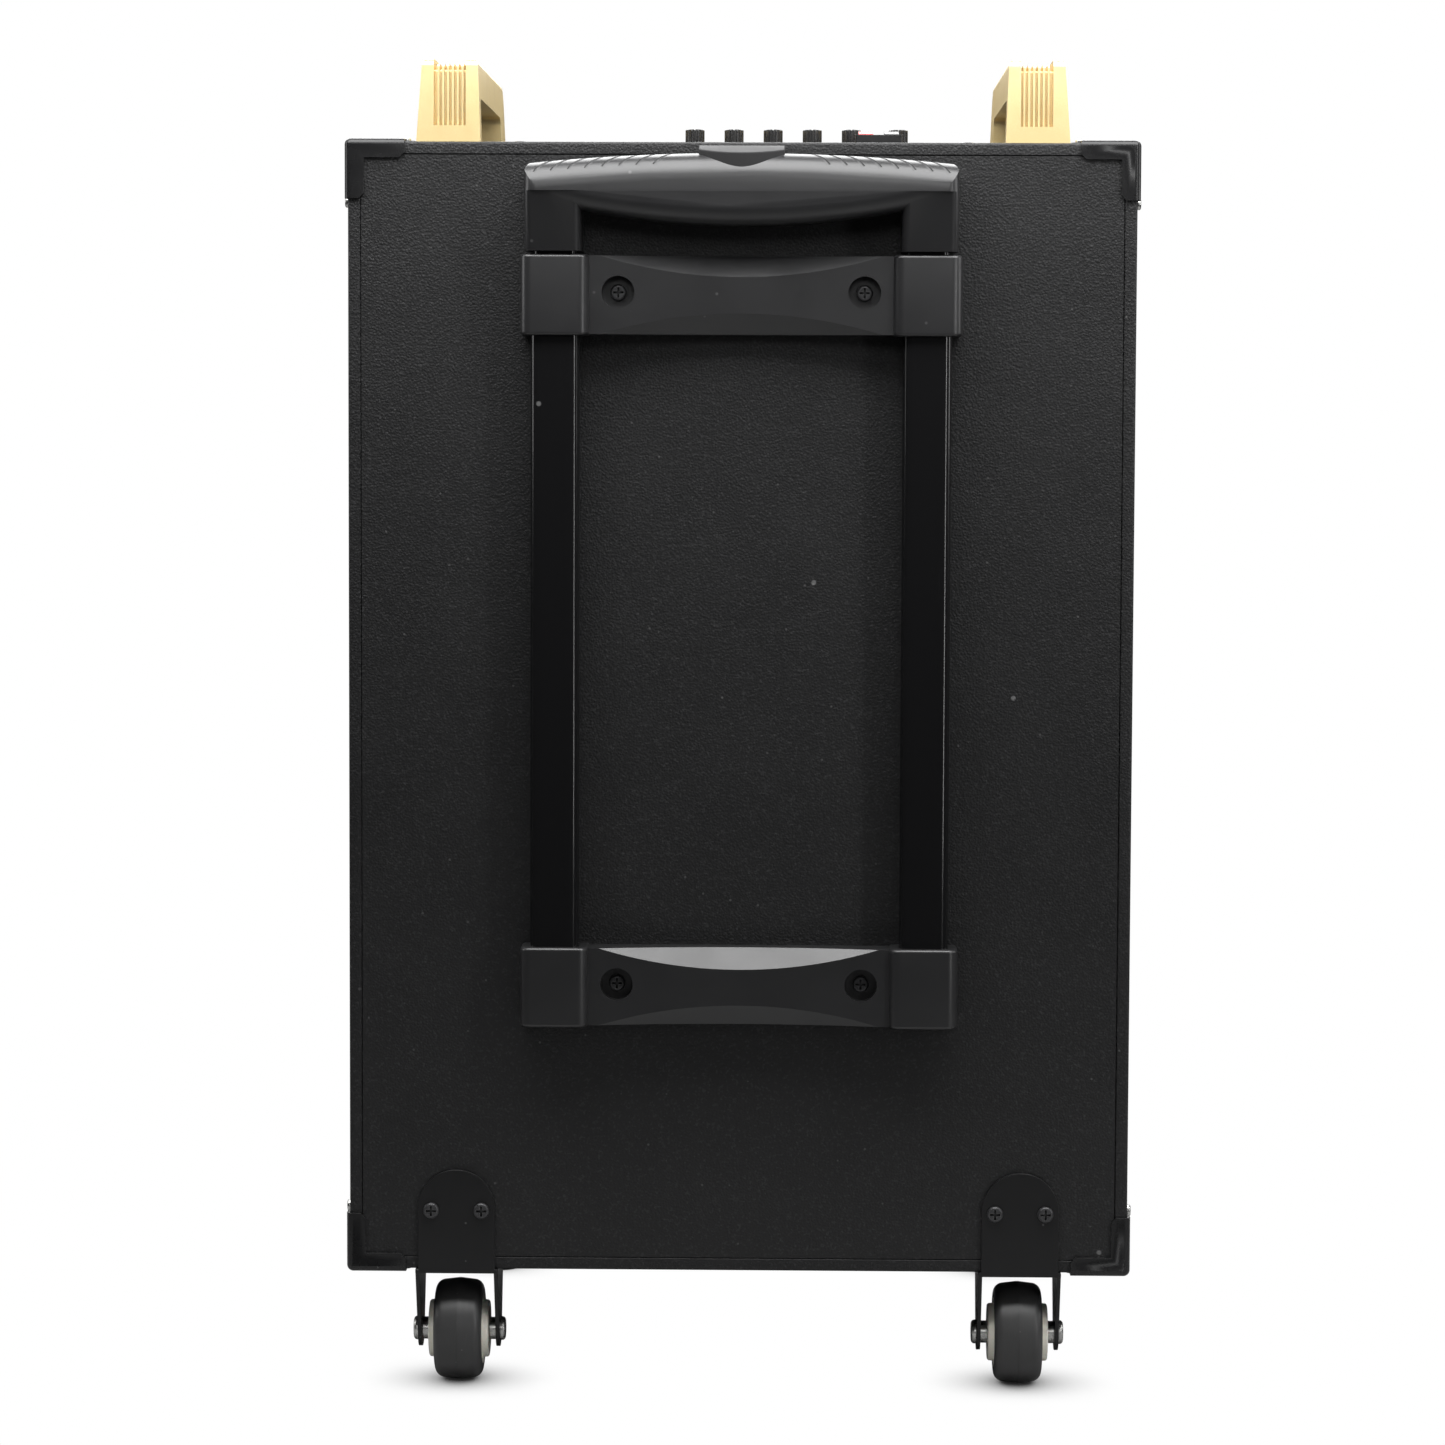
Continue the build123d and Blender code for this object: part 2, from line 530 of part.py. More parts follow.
def bracket(z0, open_top):
    """Moulded bracket: two sleeves for the tubes and a waisted bridge with two screw recesses."""
    z1 = z0 + SLEEVE_H
    half = SLEEVE_W / 2
    sleeve = block(TUBE_X - half, TUBE_X + half, BACK_Y, BACK_Y + SLEEVE_OUT, z0, z1)
    outer = sleeve.edges().filter_by(Axis.Z).group_by(Axis.Y)[-1]
    sleeve = fillet(outer, 5.5)
    rims = [e for e in sleeve.edges() if abs(e.center().Z - z1) < 0.01 or abs(e.center().Z - z0) < 0.01]
    rims = [e for e in rims if e.center().Y > BACK_Y + 0.1]
    sleeve = fillet(rims, 1.6)
    socket = along_z(tube_profile(TUBE_W + 0.3, TUBE_T + 0.3, 4.65), z0 - 1, z1 - 4)
    throat = along_z(tube_profile(INNER_W + 0.8, INNER_T + 0.8, 3.9), z1 - 5, z1 + 1)
    if open_top:
        sleeve -= Pos(TUBE_X, TUBE_Y, 0) * (socket + throat)
    else:
        upward = along_z(tube_profile(TUBE_W + 0.3, TUBE_T + 0.3, 4.65), z0 + 4, z1 + 1)
        sleeve -= Pos(TUBE_X, TUBE_Y, 0) * upward
    inner = TUBE_X - half + 1.0
    up, down = z1 - 0.6, z0 + 0.6
    body = block(-inner, inner, BACK_Y, BACK_Y + BRIDGE_OUT, down, up)
    # two scoops give the bridge its waist; their floors slope back at one angle all along
    front = Plane(origin=(0, BACK_Y + BRIDGE_OUT, 0), x_dir=(1, 0, 0), z_dir=(0, -1, 0))
    for edge, out in ((up, 1), (down, -1)):
        scoop = make_face(
            [
                ThreePointArc((-SCOOP_HALF, edge), (0, edge - out * SCOOP_DIP), (SCOOP_HALF, edge)),
                Line((SCOOP_HALF, edge), (SCOOP_HALF, edge + out * 30)),
                Line((SCOOP_HALF, edge + out * 30), (-SCOOP_HALF, edge + out * 30)),
                Line((-SCOOP_HALF, edge + out * 30), (-SCOOP_HALF, edge)),
            ]
        )
        slant = (0, -sin(radians(SCOOP_SLOPE)), out * cos(radians(SCOOP_SLOPE)))
        back_slant = tuple(-v for v in slant)
        body -= extrude(front * scoop, 25, dir=slant) + extrude(front * scoop, 5, dir=back_slant)
    for side in (-1, 1):
        spot = (side * RECESS_X, BACK_Y + BRIDGE_OUT - RECESS_DEPTH, z0 + SLEEVE_H / 2 + 1.3)
        body -= rod(spot, (0, 1, 0), RECESS_R, RECESS_DEPTH + 1)
    return (body + sleeve + mirrored(sleeve)).solids().sort_by(SortBy.VOLUME)[-1]


def brackets_and_tubes():
    nodes["upper_tube_bracket"] = bracket(UPPER_Z, True)
    nodes["lower_tube_bracket"] = bracket(LOWER_Z, False)
    top = UPPER_Z + SLEEVE_H - 5
    outer = hollow_tube(TUBE_W, TUBE_T, TUBE_WALL, 4.5, LOWER_Z + 4.5, top)
    for z in (PIN_Z, PIN_Z + HANDLE_TRAVEL):
        reach = TUBE_X - TUBE_W
        outer -= rod((reach, TUBE_Y, z), (1, 0, 0), PIN_R + 0.4, TUBE_W)
    nodes["outer_tubes"] = gather(both_sides(outer))
    screws = []
    for z0, name in ((UPPER_Z, "upper_tube_bracket"), (LOWER_Z, "lower_tube_bracket")):
        for side in (-1, 1):
            seat_y = BACK_Y + BRIDGE_OUT - RECESS_DEPTH
            seat = (side * RECESS_X, seat_y, z0 + SLEEVE_H / 2 + 1.3)
            screws.append(Screw(seat, (0, -1, 0), 21, drills=(name, "back_panel")))
    add_screws("bracket_screws", screws)


def bar_section(radius, deep, front_r, rear_r):
    """Section of half of the grip's bar as (distance from the arch's centre, y)."""
    inner = radius - deep
    shape = polygon(
        (inner, GRIP_NEAR_Y), (radius, GRIP_NEAR_Y), (radius, GRIP_FAR_Y), (inner, GRIP_FAR_Y)
    )
    for y, rounding in ((GRIP_FAR_Y, front_r), (GRIP_NEAR_Y, rear_r)):
        corner = [v for v in shape.vertices() if abs(v.X - radius) < 0.01 and abs(v.Y - y) < 0.01]
        if rounding:
            shape = fillet(corner, rounding)
    return shape


def grip_bar():
    """Bar of the grip: an arched upper half with a deep brow, and a bellied lower half."""
    upper = bar_section(GRIP_BOW_R, 28.0, GRIP_BROW_R, GRIP_REAR_R)
    lower = bar_section(GRIP_BELLY_R, 40.0, GRIP_CHIN_R, 0)
    y0, y1 = GRIP_NEAR_Y - 1, GRIP_FAR_Y + 1
    over = block(-GRIP_HALF, GRIP_HALF, y0, y1, GRIP_SEAM_Z, GRIP_TOP_Z + 1)
    under = block(-GRIP_HALF, GRIP_HALF, y0, y1, GRIP_LEG_Z, GRIP_SEAM_Z)
    bar = spun_y(upper, 0, GRIP_TOP_Z - GRIP_BOW_R) & over
    return bar + (spun_y(lower, 0, GRIP_BELLY_Z + GRIP_BELLY_R) & under)


def grip_leg():
    """Leg at the +X end of the grip: its face leans out from the foot to the front of the bar."""
    lean = polygon(
        (GRIP_NEAR_Y, GRIP_LEG_Z),
        (BACK_Y + GRIP_LEG_OUT, GRIP_LEG_Z),
        (GRIP_FAR_Y - 1, GRIP_SEAM_Z),
        (GRIP_NEAR_Y, GRIP_SEAM_Z),
    )
    leg = along_x(lean, GRIP_HALF - GRIP_LEG_W, GRIP_HALF)
    edges = leg.faces().sort_by(Axis.Y)[-1].edges().sort_by(Axis.X)
    return fillet([edges[0], edges[-1]], 4.0)


def grip():
    """Two shells: a bar between two legs, with room for the crossbar and a well for the button."""
    end, foot = GRIP_HALF, GRIP_LEG_Z
    body = grip_bar() + grip_leg() + mirrored(grip_leg())
    # the ends are rounded in plan and at their upper corners
    near, far, shoulder = GRIP_NEAR_Y - 9, GRIP_FAR_Y, GRIP_END_Z
    plan = polygon((-end, near), (end, near), (end, far), (-end, far))
    plan = fillet(plan.vertices().group_by(Axis.Y)[-1], 6.0)
    face = polygon((-end, foot), (end, foot), (end, shoulder), (0, GRIP_TOP_Z + 9), (-end, shoulder))
    face = fillet([v for v in face.vertices() if abs(v.Y - shoulder) < 0.01], 6.0)
    body &= along_z(plan, foot - 1, GRIP_TOP_Z + 9) & along_y(face, near, far + 9)

    body -= along_z(button_plan(SLIDE), BUTTON_LOW_Z - BUTTON_TRAVEL - 0.3, GRIP_TOP_Z + 9)
    space_z = CROSSBAR_Z - CROSSBAR_T / 2 - BUTTON_TRAVEL - 0.5
    body -= block(-TUBE_X - 4, TUBE_X + 4, TUBE_Y - 4, TUBE_Y + 4, space_z, CROSSBAR_Z + CROSSBAR_T)
    body -= block(-8, 8, TUBE_Y - 4, TUBE_Y + 4, GRIP_SEAM_Z, BUTTON_LOW_Z)
    socket = along_z(tube_profile(INNER_W + 0.1, INNER_T + 0.1, 3.55), foot - 1, space_z + 1)
    sockets = Pos(TUBE_X, TUBE_Y, 0) * socket
    body = body - sockets - mirrored(sockets)
    far = 2 * GRIP_HALF
    upper = body & block(-far, far, 0, 2 * BACK_Y, GRIP_SEAM_Z, TOP_Z)
    lower = body & block(-far, far, 0, 2 * BACK_Y, BASE_Z, GRIP_SEAM_Z)
    nodes["grip_upper_shell"] = upper.solids().sort_by(SortBy.VOLUME)[-1]
    nodes["grip_lower_shell"] = lower.solids().sort_by(SortBy.VOLUME)[-1]


def button_plan(grow):
    """Plan of the release button: straight at the back, bowed towards the hand."""
    half, back = BUTTON_HALF + grow, TUBE_Y - 7 - grow
    corner, front = BUTTON_CORNER + grow, BUTTON_FRONT + grow
    return make_face(
        [
            Line((-half, back), (half, back)),
            Line((half, back), (half, corner)),
            ThreePointArc((half, corner), (0, front), (-half, corner)),
            Line((-half, corner), (-half, back)),
        ]
    )


def sliding_frame():
    """Inner tubes, release button, its rods, and the two lock pins."""
    low, high = LOWER_Z + 8, CROSSBAR_Z - CROSSBAR_T / 2 - BUTTON_TRAVEL - 0.3
    tube = hollow_tube(INNER_W, INNER_T, INNER_WALL, 3.5, low, high)
    tube -= rod((TUBE_X, TUBE_Y, PIN_Z), (1, 0, 0), PIN_R + 0.1, TUBE_W)
    nodes["inner_tubes"] = gather(both_sides(tube))

    # the button's top slopes down towards the hand
    button = along_z(button_plan(0), BUTTON_LOW_Z, BUTTON_TOP_Z)
    far_y, fall = BUTTON_FRONT + 2, 4.8
    slope = polygon((TUBE_Y + 2, BUTTON_TOP_Z), (far_y, BUTTON_TOP_Z), (far_y, BUTTON_TOP_Z - fall))
    button -= along_x(slope, -BUTTON_HALF - 1, BUTTON_HALF + 1)
    upper = [e for e in button.edges() if e.center().Z > BUTTON_TOP_Z - fall]
    brow = [e for e in upper if e.center().Y > TUBE_Y + 3 and e.length > BUTTON_HALF]
    nodes["release_button"] = fillet(brow, 0.8)

    bar = Pos(0, TUBE_Y, CROSSBAR_Z) * Box(2 * TUBE_X + 4, 5, CROSSBAR_T)
    stem = block(-6, 6, TUBE_Y - 2.5, TUBE_Y + 2.5, CROSSBAR_Z, BUTTON_LOW_Z)
    rods = rod((TUBE_X, TUBE_Y, CROSSBAR_Z), (0, 0, -1), ROD_R, CROSSBAR_Z - PIN_Z - PIN_R - 7)
    nodes["push_rods"] = bar + stem + rods + mirrored(rods)

    reach = TUBE_W / 2 - TUBE_WALL - 0.15
    pin = rod((TUBE_X + reach - 12, TUBE_Y, PIN_Z), (1, 0, 0), PIN_R, 12)
    tip = pin.edges().group_by(Axis.X)[-1]
    pin = fillet(tip, 0.9)
    nodes["left_lock_pin"] = pin
    nodes["right_lock_pin"] = mirrored(pin)


# ================================================================ castors and feet
def castor_bracket():
    """Steel bracket of the +X castor: arched back plate, base plate and two tapered fork legs."""
    x0 = CASTOR_X
    outline = Pos(x0, ARCH_Z) * Circle(PLATE_HALF)
    outline += polygon(
        (x0 - PLATE_HALF, BASE_Z - STEEL),
        (x0 + PLATE_HALF, BASE_Z - STEEL),
        (x0 + PLATE_HALF, ARCH_Z),
        (x0 - PLATE_HALF, ARCH_Z),
    )
    plate = along_y(outline, BACK_Y, BACK_Y + STEEL)
    base = block(x0 - FORK_HALF, x0 + FORK_HALF, BACK_Y - 42, BACK_Y + STEEL, BASE_Z - STEEL, BASE_Z)
    end_r = 9.0
    top0, top1 = BACK_Y - 42, BACK_Y + STEEL
    dy0, dy1, dz = CASTOR_Y - top0, top1 - CASTOR_Y, BASE_Z - WHEEL_R
    taper0 = tangent_point(dy0, dz, end_r)
    taper1 = tangent_point(dy1, dz, end_r)
    leg = polygon(
        (top0, BASE_Z),
        (top1, BASE_Z),
        (CASTOR_Y + taper1[0], WHEEL_R + taper1[1]),
        (CASTOR_Y - taper0[0], WHEEL_R + taper0[1]),
    )
    leg += Pos(CASTOR_Y, WHEEL_R) * Circle(end_r)
    leg -= Pos(CASTOR_Y, WHEEL_R) * Circle(AXLE_R + 0.02)
    legs = along_x(leg, x0 + FORK_HALF - STEEL, x0 + FORK_HALF)
    legs += along_x(leg, x0 - FORK_HALF, x0 - FORK_HALF + STEEL)
    return plate + base + legs


def tangent_point(dx, dz, r):
    """Where a line from (dx, dz) touches a circle of radius r at the origin, on the +x side."""
    d = hypot(dx, dz)
    a = r * r / (d * d)
    b = r * sqrt(d * d - r * r) / (d * d)
    return a * dx + b * dz, a * dz - b * dx


def castors():
    bracket_left = castor_bracket()
    nodes["castor_brackets"] = gather(both_sides(bracket_left))
    x0 = CASTOR_X
    head_out, head_r = 2.6, 6.0
    axle = rod((x0 - FORK_HALF, CASTOR_Y, WHEEL_R), (1, 0, 0), AXLE_R, 2 * FORK_HALF)
    for side in (-1, 1):
        face = x0 + side * FORK_HALF
        head = rod((face, CASTOR_Y, WHEEL_R), (side, 0, 0), head_r, head_out)
        rim = head.edges().sort_by(Axis.X)
        outer = [rim[-1] if side > 0 else rim[0]]
        axle += fillet(outer, 1.8)
    spacers = []
    for side in (-1, 1):
        start = (x0 + side * (HUB_HALF + 0.15), CASTOR_Y, WHEEL_R)
        length = FORK_HALF - STEEL - HUB_HALF - 0.2
        ring = rod(start, (side, 0, 0), 5.6, length) - rod(start, (side, 0, 0), AXLE_R + 0.02, length)
        spacers.append(ring)
    nodes["castor_axles"] = gather([axle] + spacers + [mirrored(s) for s in [axle] + spacers])

    r, half = WHEEL_R, TYRE_HALF
    crown = [(-half, RIM_R), (-half, r - 6.5), (-half + 0.9, r - 3.6)]
    crown += [(-half + 3.4, r - 1.2), (-half + 7.5, r - 0.15)]
    outline = crown + [(0, r)] + [(-x, v) for x, v in reversed(crown)]
    tyre = spun_x([(x0 + x, v) for x, v in outline], CASTOR_Y, WHEEL_R)
    hub = [(-half, RIM_R), (half, RIM_R), (half, HUB_FACE_R), (HUB_HALF, HUB_FACE_R - 0.8)]
    hub += [(HUB_HALF, 11.4), (HUB_HALF - 2.2, 10.8), (HUB_HALF - 2.2, 7.2), (HUB_HALF, 6.6)]
    hub += [(HUB_HALF, AXLE_R + RUN)]
    right = [(-x, v) for x, v in reversed(hub[2:])]
    hub = spun_x([(x0 + x, v) for x, v in hub + right], CASTOR_Y, WHEEL_R)
    nodes["left_wheel_tyre"], nodes["left_wheel_hub"] = tyre, hub
    nodes["right_wheel_tyre"], nodes["right_wheel_hub"] = mirrored(tyre), mirrored(hub)

    screws = []
    for sx in (-1, 1):
        for off in (-12.55, 12.55):
            seat = (sx * x0 + off, BACK_Y + STEEL, BASE_Z + 29.8)
            both = ("castor_brackets", "back_panel")
            screws.append(Screw(seat, (0, -1, 0), 12, drills=both))
        for y in (BACK_Y - 17, BACK_Y - 36):
            seat = (sx * x0, y, BASE_Z - STEEL)
            both = ("castor_brackets", "bottom_panel")
            screws.append(Screw(seat, (0, 0, 1), 12, drills=both))
    add_screws("castor_screws", screws)


def front_feet():
    """Two tall tapered rubber feet with a deep screw pocket."""
    foot = rod((FOOT_X, FOOT_Y, 0), (0, 0, 1), FOOT_SOLE_R, BASE_Z, FOOT_TOP_R)
    foot = fillet(foot.edges().group_by(Axis.Z)[0], 2.0)
    foot -= rod((FOOT_X, FOOT_Y, -1), (0, 0, 1), FOOT_BORE_R, BASE_Z - 9)
    nodes["front_feet"] = gather(both_sides(foot))


# ================================================================ control panel and electronics
def control_panel():
    plate = rounded_box(-PANEL_X, PANEL_X, PANEL_Y0, PANEL_Y1, TOP_Z, PANEL_Z, 6)
    plate = fillet(plate.edges().group_by(Axis.Z)[-1], 0.6)
    deep = (TOP_Z - 1, PANEL_Z + 1)
    for x in KNOB_X:
        plate -= rod((x, KNOB_Y, deep[0]), (0, 0, 1), SHAFT_R + 0.4, 4)
    for x in BUTTON_X:
        half = BUTTON_SIDE / 2 + 0.2
        plate -= block(x - half, x + half, BUTTON_Y - half, BUTTON_Y + half, *deep)
    for x0, x1, y0, y1 in (DISPLAY, MEDIA):
        plate -= block(x0, x1, y0, y1, *deep)
    for x in JACK_X + (INLET_X,):
        plate -= rod((x, JACK_Y, deep[0]), (0, 0, 1), 5.6, 4)
    plate -= block(
        ROCKER_X - ROCKER_W / 2 - 0.5,
        ROCKER_X + ROCKER_W / 2 + 0.5,
        ROCKER_Y - ROCKER_L / 2 - 0.5,
        ROCKER_Y + ROCKER_L / 2 + 0.5,
        *deep,
    )
    nodes["control_panel"] = plate

    x0, x1, y0, y1 = DISPLAY
    window = block(x0 + 0.15, x1 - 0.15, y0 + 0.15, y1 - 0.15, TOP_Z - 4, PANEL_Z + 0.4)
    nodes["display_window"] = fillet(window.edges().group_by(Axis.Z)[-1], 0.3)
    x0, x1, y0, y1 = MEDIA
    media = block(x0 + 0.15, x1 - 0.15, y0 + 0.15, y1 - 0.15, TOP_Z - 15, PANEL_Z + 0.8)
    media = fillet(media.edges().group_by(Axis.Z)[-1], 0.4)
    mid = (y0 + y1) / 2
    usb = (x0 + 6, x0 + 19.2, mid - 2.6, mid + 2.6)
    media -= block(*usb, TOP_Z - 12, PANEL_Z + 2)
    media += block(usb[0] + 0.8, usb[1] - 0.8, mid + 0.1, mid + 1.9, TOP_Z - 13, PANEL_Z - 1)
    media -= block(x0 + 27, x0 + 39, mid - 1.1, mid + 1.1, TOP_Z - 12, PANEL_Z + 2)
    nodes["media_module"] = media


def sockets():
    """Two microphone or guitar jacks and the charging inlet."""
    out = []
    for x in JACK_X:
        body = block(x - 7.5, x + 7.5, JACK_Y - 8, JACK_Y + 8, TOP_Z - 32, TOP_Z - 0.2)
        bush = rod((x, JACK_Y, TOP_Z - 1), (0, 0, 1), 5.5, PANEL_T + 1)
        nut = Pos(x, JACK_Y, 0) * along_z(RegularPolygon(7.4, 6), PANEL_Z, PANEL_Z + 2.0)
        jack = body + bush + nut
        out.append(jack - rod((x, JACK_Y, PANEL_Z + 2.1), (0, 0, -1), JACK_BORE_R, JACK_BORE_L + 0.1))
    body = block(INLET_X - 7, INLET_X + 7, JACK_Y - 7, JACK_Y + 7, TOP_Z - 14, TOP_Z - 0.2)
    body += rod((INLET_X, JACK_Y, TOP_Z - 1), (0, 0, 1), 5.5, PANEL_T + 1)
    body += rod((INLET_X, JACK_Y, PANEL_Z), (0, 0, 1), 7.0, 1.4)
    body -= rod((INLET_X, JACK_Y, PANEL_Z + 2), (0, 0, -1), 2.8, 12)
    body += rod((INLET_X, JACK_Y, PANEL_Z - 9), (0, 0, 1), 1.05, 8.6)
    nodes["panel_sockets"] = gather(out + [body])


def knob(x):
    """Turning knob with a pointer groove across its top, and its shaft, as two solids."""
    z = PANEL_Z + 0.4
    cap = rod((x, KNOB_Y, z), (0, 0, 1), KNOB_R, KNOB_H)
    cap = fillet(cap.edges().group_by(Axis.Z)[-1], 0.9)
    flutes = 18
    for k in range(flutes):
        a = 2 * pi * k / flutes
        spot = (x + (KNOB_R + 0.35) * cos(a), KNOB_Y + (KNOB_R + 0.35) * sin(a), z + 1.4)
        cap -= rod(spot, (0, 0, 1), 0.62, KNOB_H)
    cap -= block(x - 0.5, x + 0.5, KNOB_Y, KNOB_Y + KNOB_R + 1, z + KNOB_H - 0.5, z + KNOB_H + 1)
    cap -= rod((x, KNOB_Y, z - 1), (0, 0, 1), SHAFT_R, KNOB_H - 1)
    shaft = rod((x, KNOB_Y, BOARD_Z + 12), (0, 0, 1), SHAFT_R, z + KNOB_H - 2 - BOARD_Z - 12)
    return gather([cap, shaft])


def controls():
    """Knobs, push buttons, power rocker, spring terminals."""
    for name, x in zip(KNOB_NAMES, KNOB_X):
        nodes[name] = knob(x)
    for name, x in zip(BUTTON_NAMES, BUTTON_X):
        low, side = TOP_Z - 3, BUTTON_SIDE
        half = side / 2
        y0, y1 = BUTTON_Y - half, BUTTON_Y + half
        cap = rounded_box(x - half, x + half, y0, y1, low, PANEL_Z + BUTTON_UP, 1.2)
        cap = fillet(cap.edges().group_by(Axis.Z)[-1], 0.6)
        stem = rod((x, BUTTON_Y, low), (0, 0, -1), 2.0, low - BOARD_Z - 8)
        flange = Pos(x, BUTTON_Y, low + 1.3) * Box(side + 2, side + 2, 1.0)
        nodes[name] = cap + stem + flange

    # rocker: a shallow V seen from the side, tilted about its pivot to the off position
    half_l, half_w = ROCKER_L / 2 - 0.9, ROCKER_W / 2 - 0.7
    right = [(half_l, 5.1), (half_l - 0.6, -2.5), (3, -5.5)]
    left = [(-y, z) for y, z in reversed(right)]
    rocker = along_x(polygon((0, 3.4), *right, *left), -half_w, half_w)
    rocker += rod((-half_w - 0.7, 0, 0), (1, 0, 0), ROCKER_PIN_R, 2 * half_w + 1.4)
    nodes["power_rocker"] = Pos(ROCKER_X, ROCKER_Y, ROCKER_PIVOT_Z) * (Rot(ROCKER_REST, 0, 0) * rocker)
    x0, x1 = ROCKER_X - ROCKER_W / 2, ROCKER_X + ROCKER_W / 2
    y0, y1 = ROCKER_Y - ROCKER_L / 2, ROCKER_Y + ROCKER_L / 2
    z = PANEL_Z
    frame = rounded_box(x0 - 1.6, x1 + 1.6, y0 - 1.6, y1 + 1.6, z, z + 1.3, 1.5)
    frame += block(x0 - 0.4, x1 + 0.4, y0 - 0.4, y1 + 0.4, TOP_Z - 15, z + 1)
    frame -= block(x0 + 0.4, x1 - 0.4, y0 + 0.4, y1 - 0.4, TOP_Z - 12, z + 2)
    frame -= rod((x0 - 0.5, ROCKER_Y, ROCKER_PIVOT_Z), (1, 0, 0), ROCKER_PIN_R + RUN, ROCKER_W + 1)
    nodes["panel_sockets"] = gather([nodes["panel_sockets"], frame])

    # push terminal: a low block with a slot and a wire hole for each lever
    x0, x1 = TERMINAL_X - TERMINAL_W / 2, TERMINAL_X + TERMINAL_W / 2
    y0, y1 = TERMINAL_Y - TERMINAL_D / 2, TERMINAL_Y + TERMINAL_D / 2
    base = rounded_box(x0, x1, y0, y1, PANEL_Z, PANEL_Z + TERMINAL_H, 1.5)
    top = PANEL_Z + TERMINAL_H
    for name, x in LEVER_X.items():
        half = LEVER_W / 2 + SLIDE
        base -= block(x - half, x + half, y0 + 1.2, y1 - 0.8, PANEL_Z + 0.8, top + 1)
        base -= rod((x, y0 - 1, PANEL_Z + 2.4), (0, 1, 0), 1.3, 4)
        finger = [(y0 + 2.4, top - 2.4), (y0 + 2.4, top + 1.9), (y0 + 7.0, top + 2.1)]
        heel = [(LEVER_PIVOT_Y + 0.4, top + 0.6), (LEVER_PIVOT_Y + 1.6, LEVER_PIVOT_Z)]
        heel += [(LEVER_PIVOT_Y - 1.6, LEVER_PIVOT_Z - 1.2)]
        lever = along_x(polygon(*finger, *heel), x - LEVER_W / 2, x + LEVER_W / 2)
        lever -= rod((x - LEVER_W, LEVER_PIVOT_Y, LEVER_PIVOT_Z), (1, 0, 0), 0.8 + RUN, 2 * LEVER_W)
        nodes[name] = lever
        base += rod((x - half - 0.5, LEVER_PIVOT_Y, LEVER_PIVOT_Z), (1, 0, 0), 0.8, 2 * half + 1)
    nodes["terminal_base"] = base


def electronics():
    """Amplifier board with potentiometers and heat sink, power supply, and battery with its strap."""
    z = BOARD_Z
    board = block(-100, 102, PANEL_Y0 + 16, PANEL_Y1 - 16, z, z + 1.6)
    pieces = [board]
    for x in KNOB_X:
        pot = block(x - 6, x + 6, KNOB_Y - 6, KNOB_Y + 6, z + 1.6, z + 11.8)
        pieces.append(pot)
    for x in BUTTON_X:
        pieces.append(block(x - 3, x + 3, BUTTON_Y - 3, BUTTON_Y + 3, z + 1.6, z + 6.6))
    sink = block(-60, 40, -4, 40, z - 22, z - 0.1)
    for k in range(12):
        x = -56 + 8.2 * k
        sink -= block(x, x + 4.6, -5, 41, z - 23, z - 5)
    pieces.append(sink)
    nodes["amplifier_board"] = gather(pieces)

    low = BASE_Z + WALL
    mid_x, mid_y, deck = 131.0, 50.0, low + 9.6
    supply = [block(mid_x - 35, mid_x + 35, mid_y - 45, mid_y + 45, deck - 1.6, deck)]
    supply.append(rounded_box(mid_x - 27, mid_x + 9, mid_y - 35, mid_y + 1, deck, deck + 32, 3))
    for x, y in ((19, -25), (19, -5), (-11, 23), (19, 23)):
        supply.append(rod((mid_x + x, mid_y + y, deck), (0, 0, 1), 7.5, 24))
    for x in (mid_x - 32, mid_x + 32):
        for y in (mid_y - 42, mid_y + 42):
            supply.append(rod((x, y, low), (0, 0, 1), 2.8, 8))
    nodes["power_supply"] = gather(supply)

    y0, y1, high = BATTERY_Y - BATTERY_D / 2, BATTERY_Y + BATTERY_D / 2, low + BATTERY_H
    cell = rounded_box(-BATTERY_W / 2, BATTERY_W / 2, y0, y1, low, high, 3)
    for x in (-60, 60):
        cell += block(x - 3.2, x + 3.2, y1 - 11, y1 - 10.2, high, high + 7)
    nodes["battery"] = cell
    sheet, gap, ear = 1.5, 0.1, 16.0
    strap = block(-9, 9, y0 - gap - sheet, y1 + gap + sheet, low, high + gap + sheet)
    strap -= block(-10, 10, y0 - gap, y1 + gap, low - 1, high + gap)
    strap += block(-9, 9, y0 - gap - ear, y0 - gap, low, low + sheet)
    strap += block(-9, 9, y1 + gap, y1 + gap + ear, low, low + sheet)
    nodes["battery_strap"] = strap


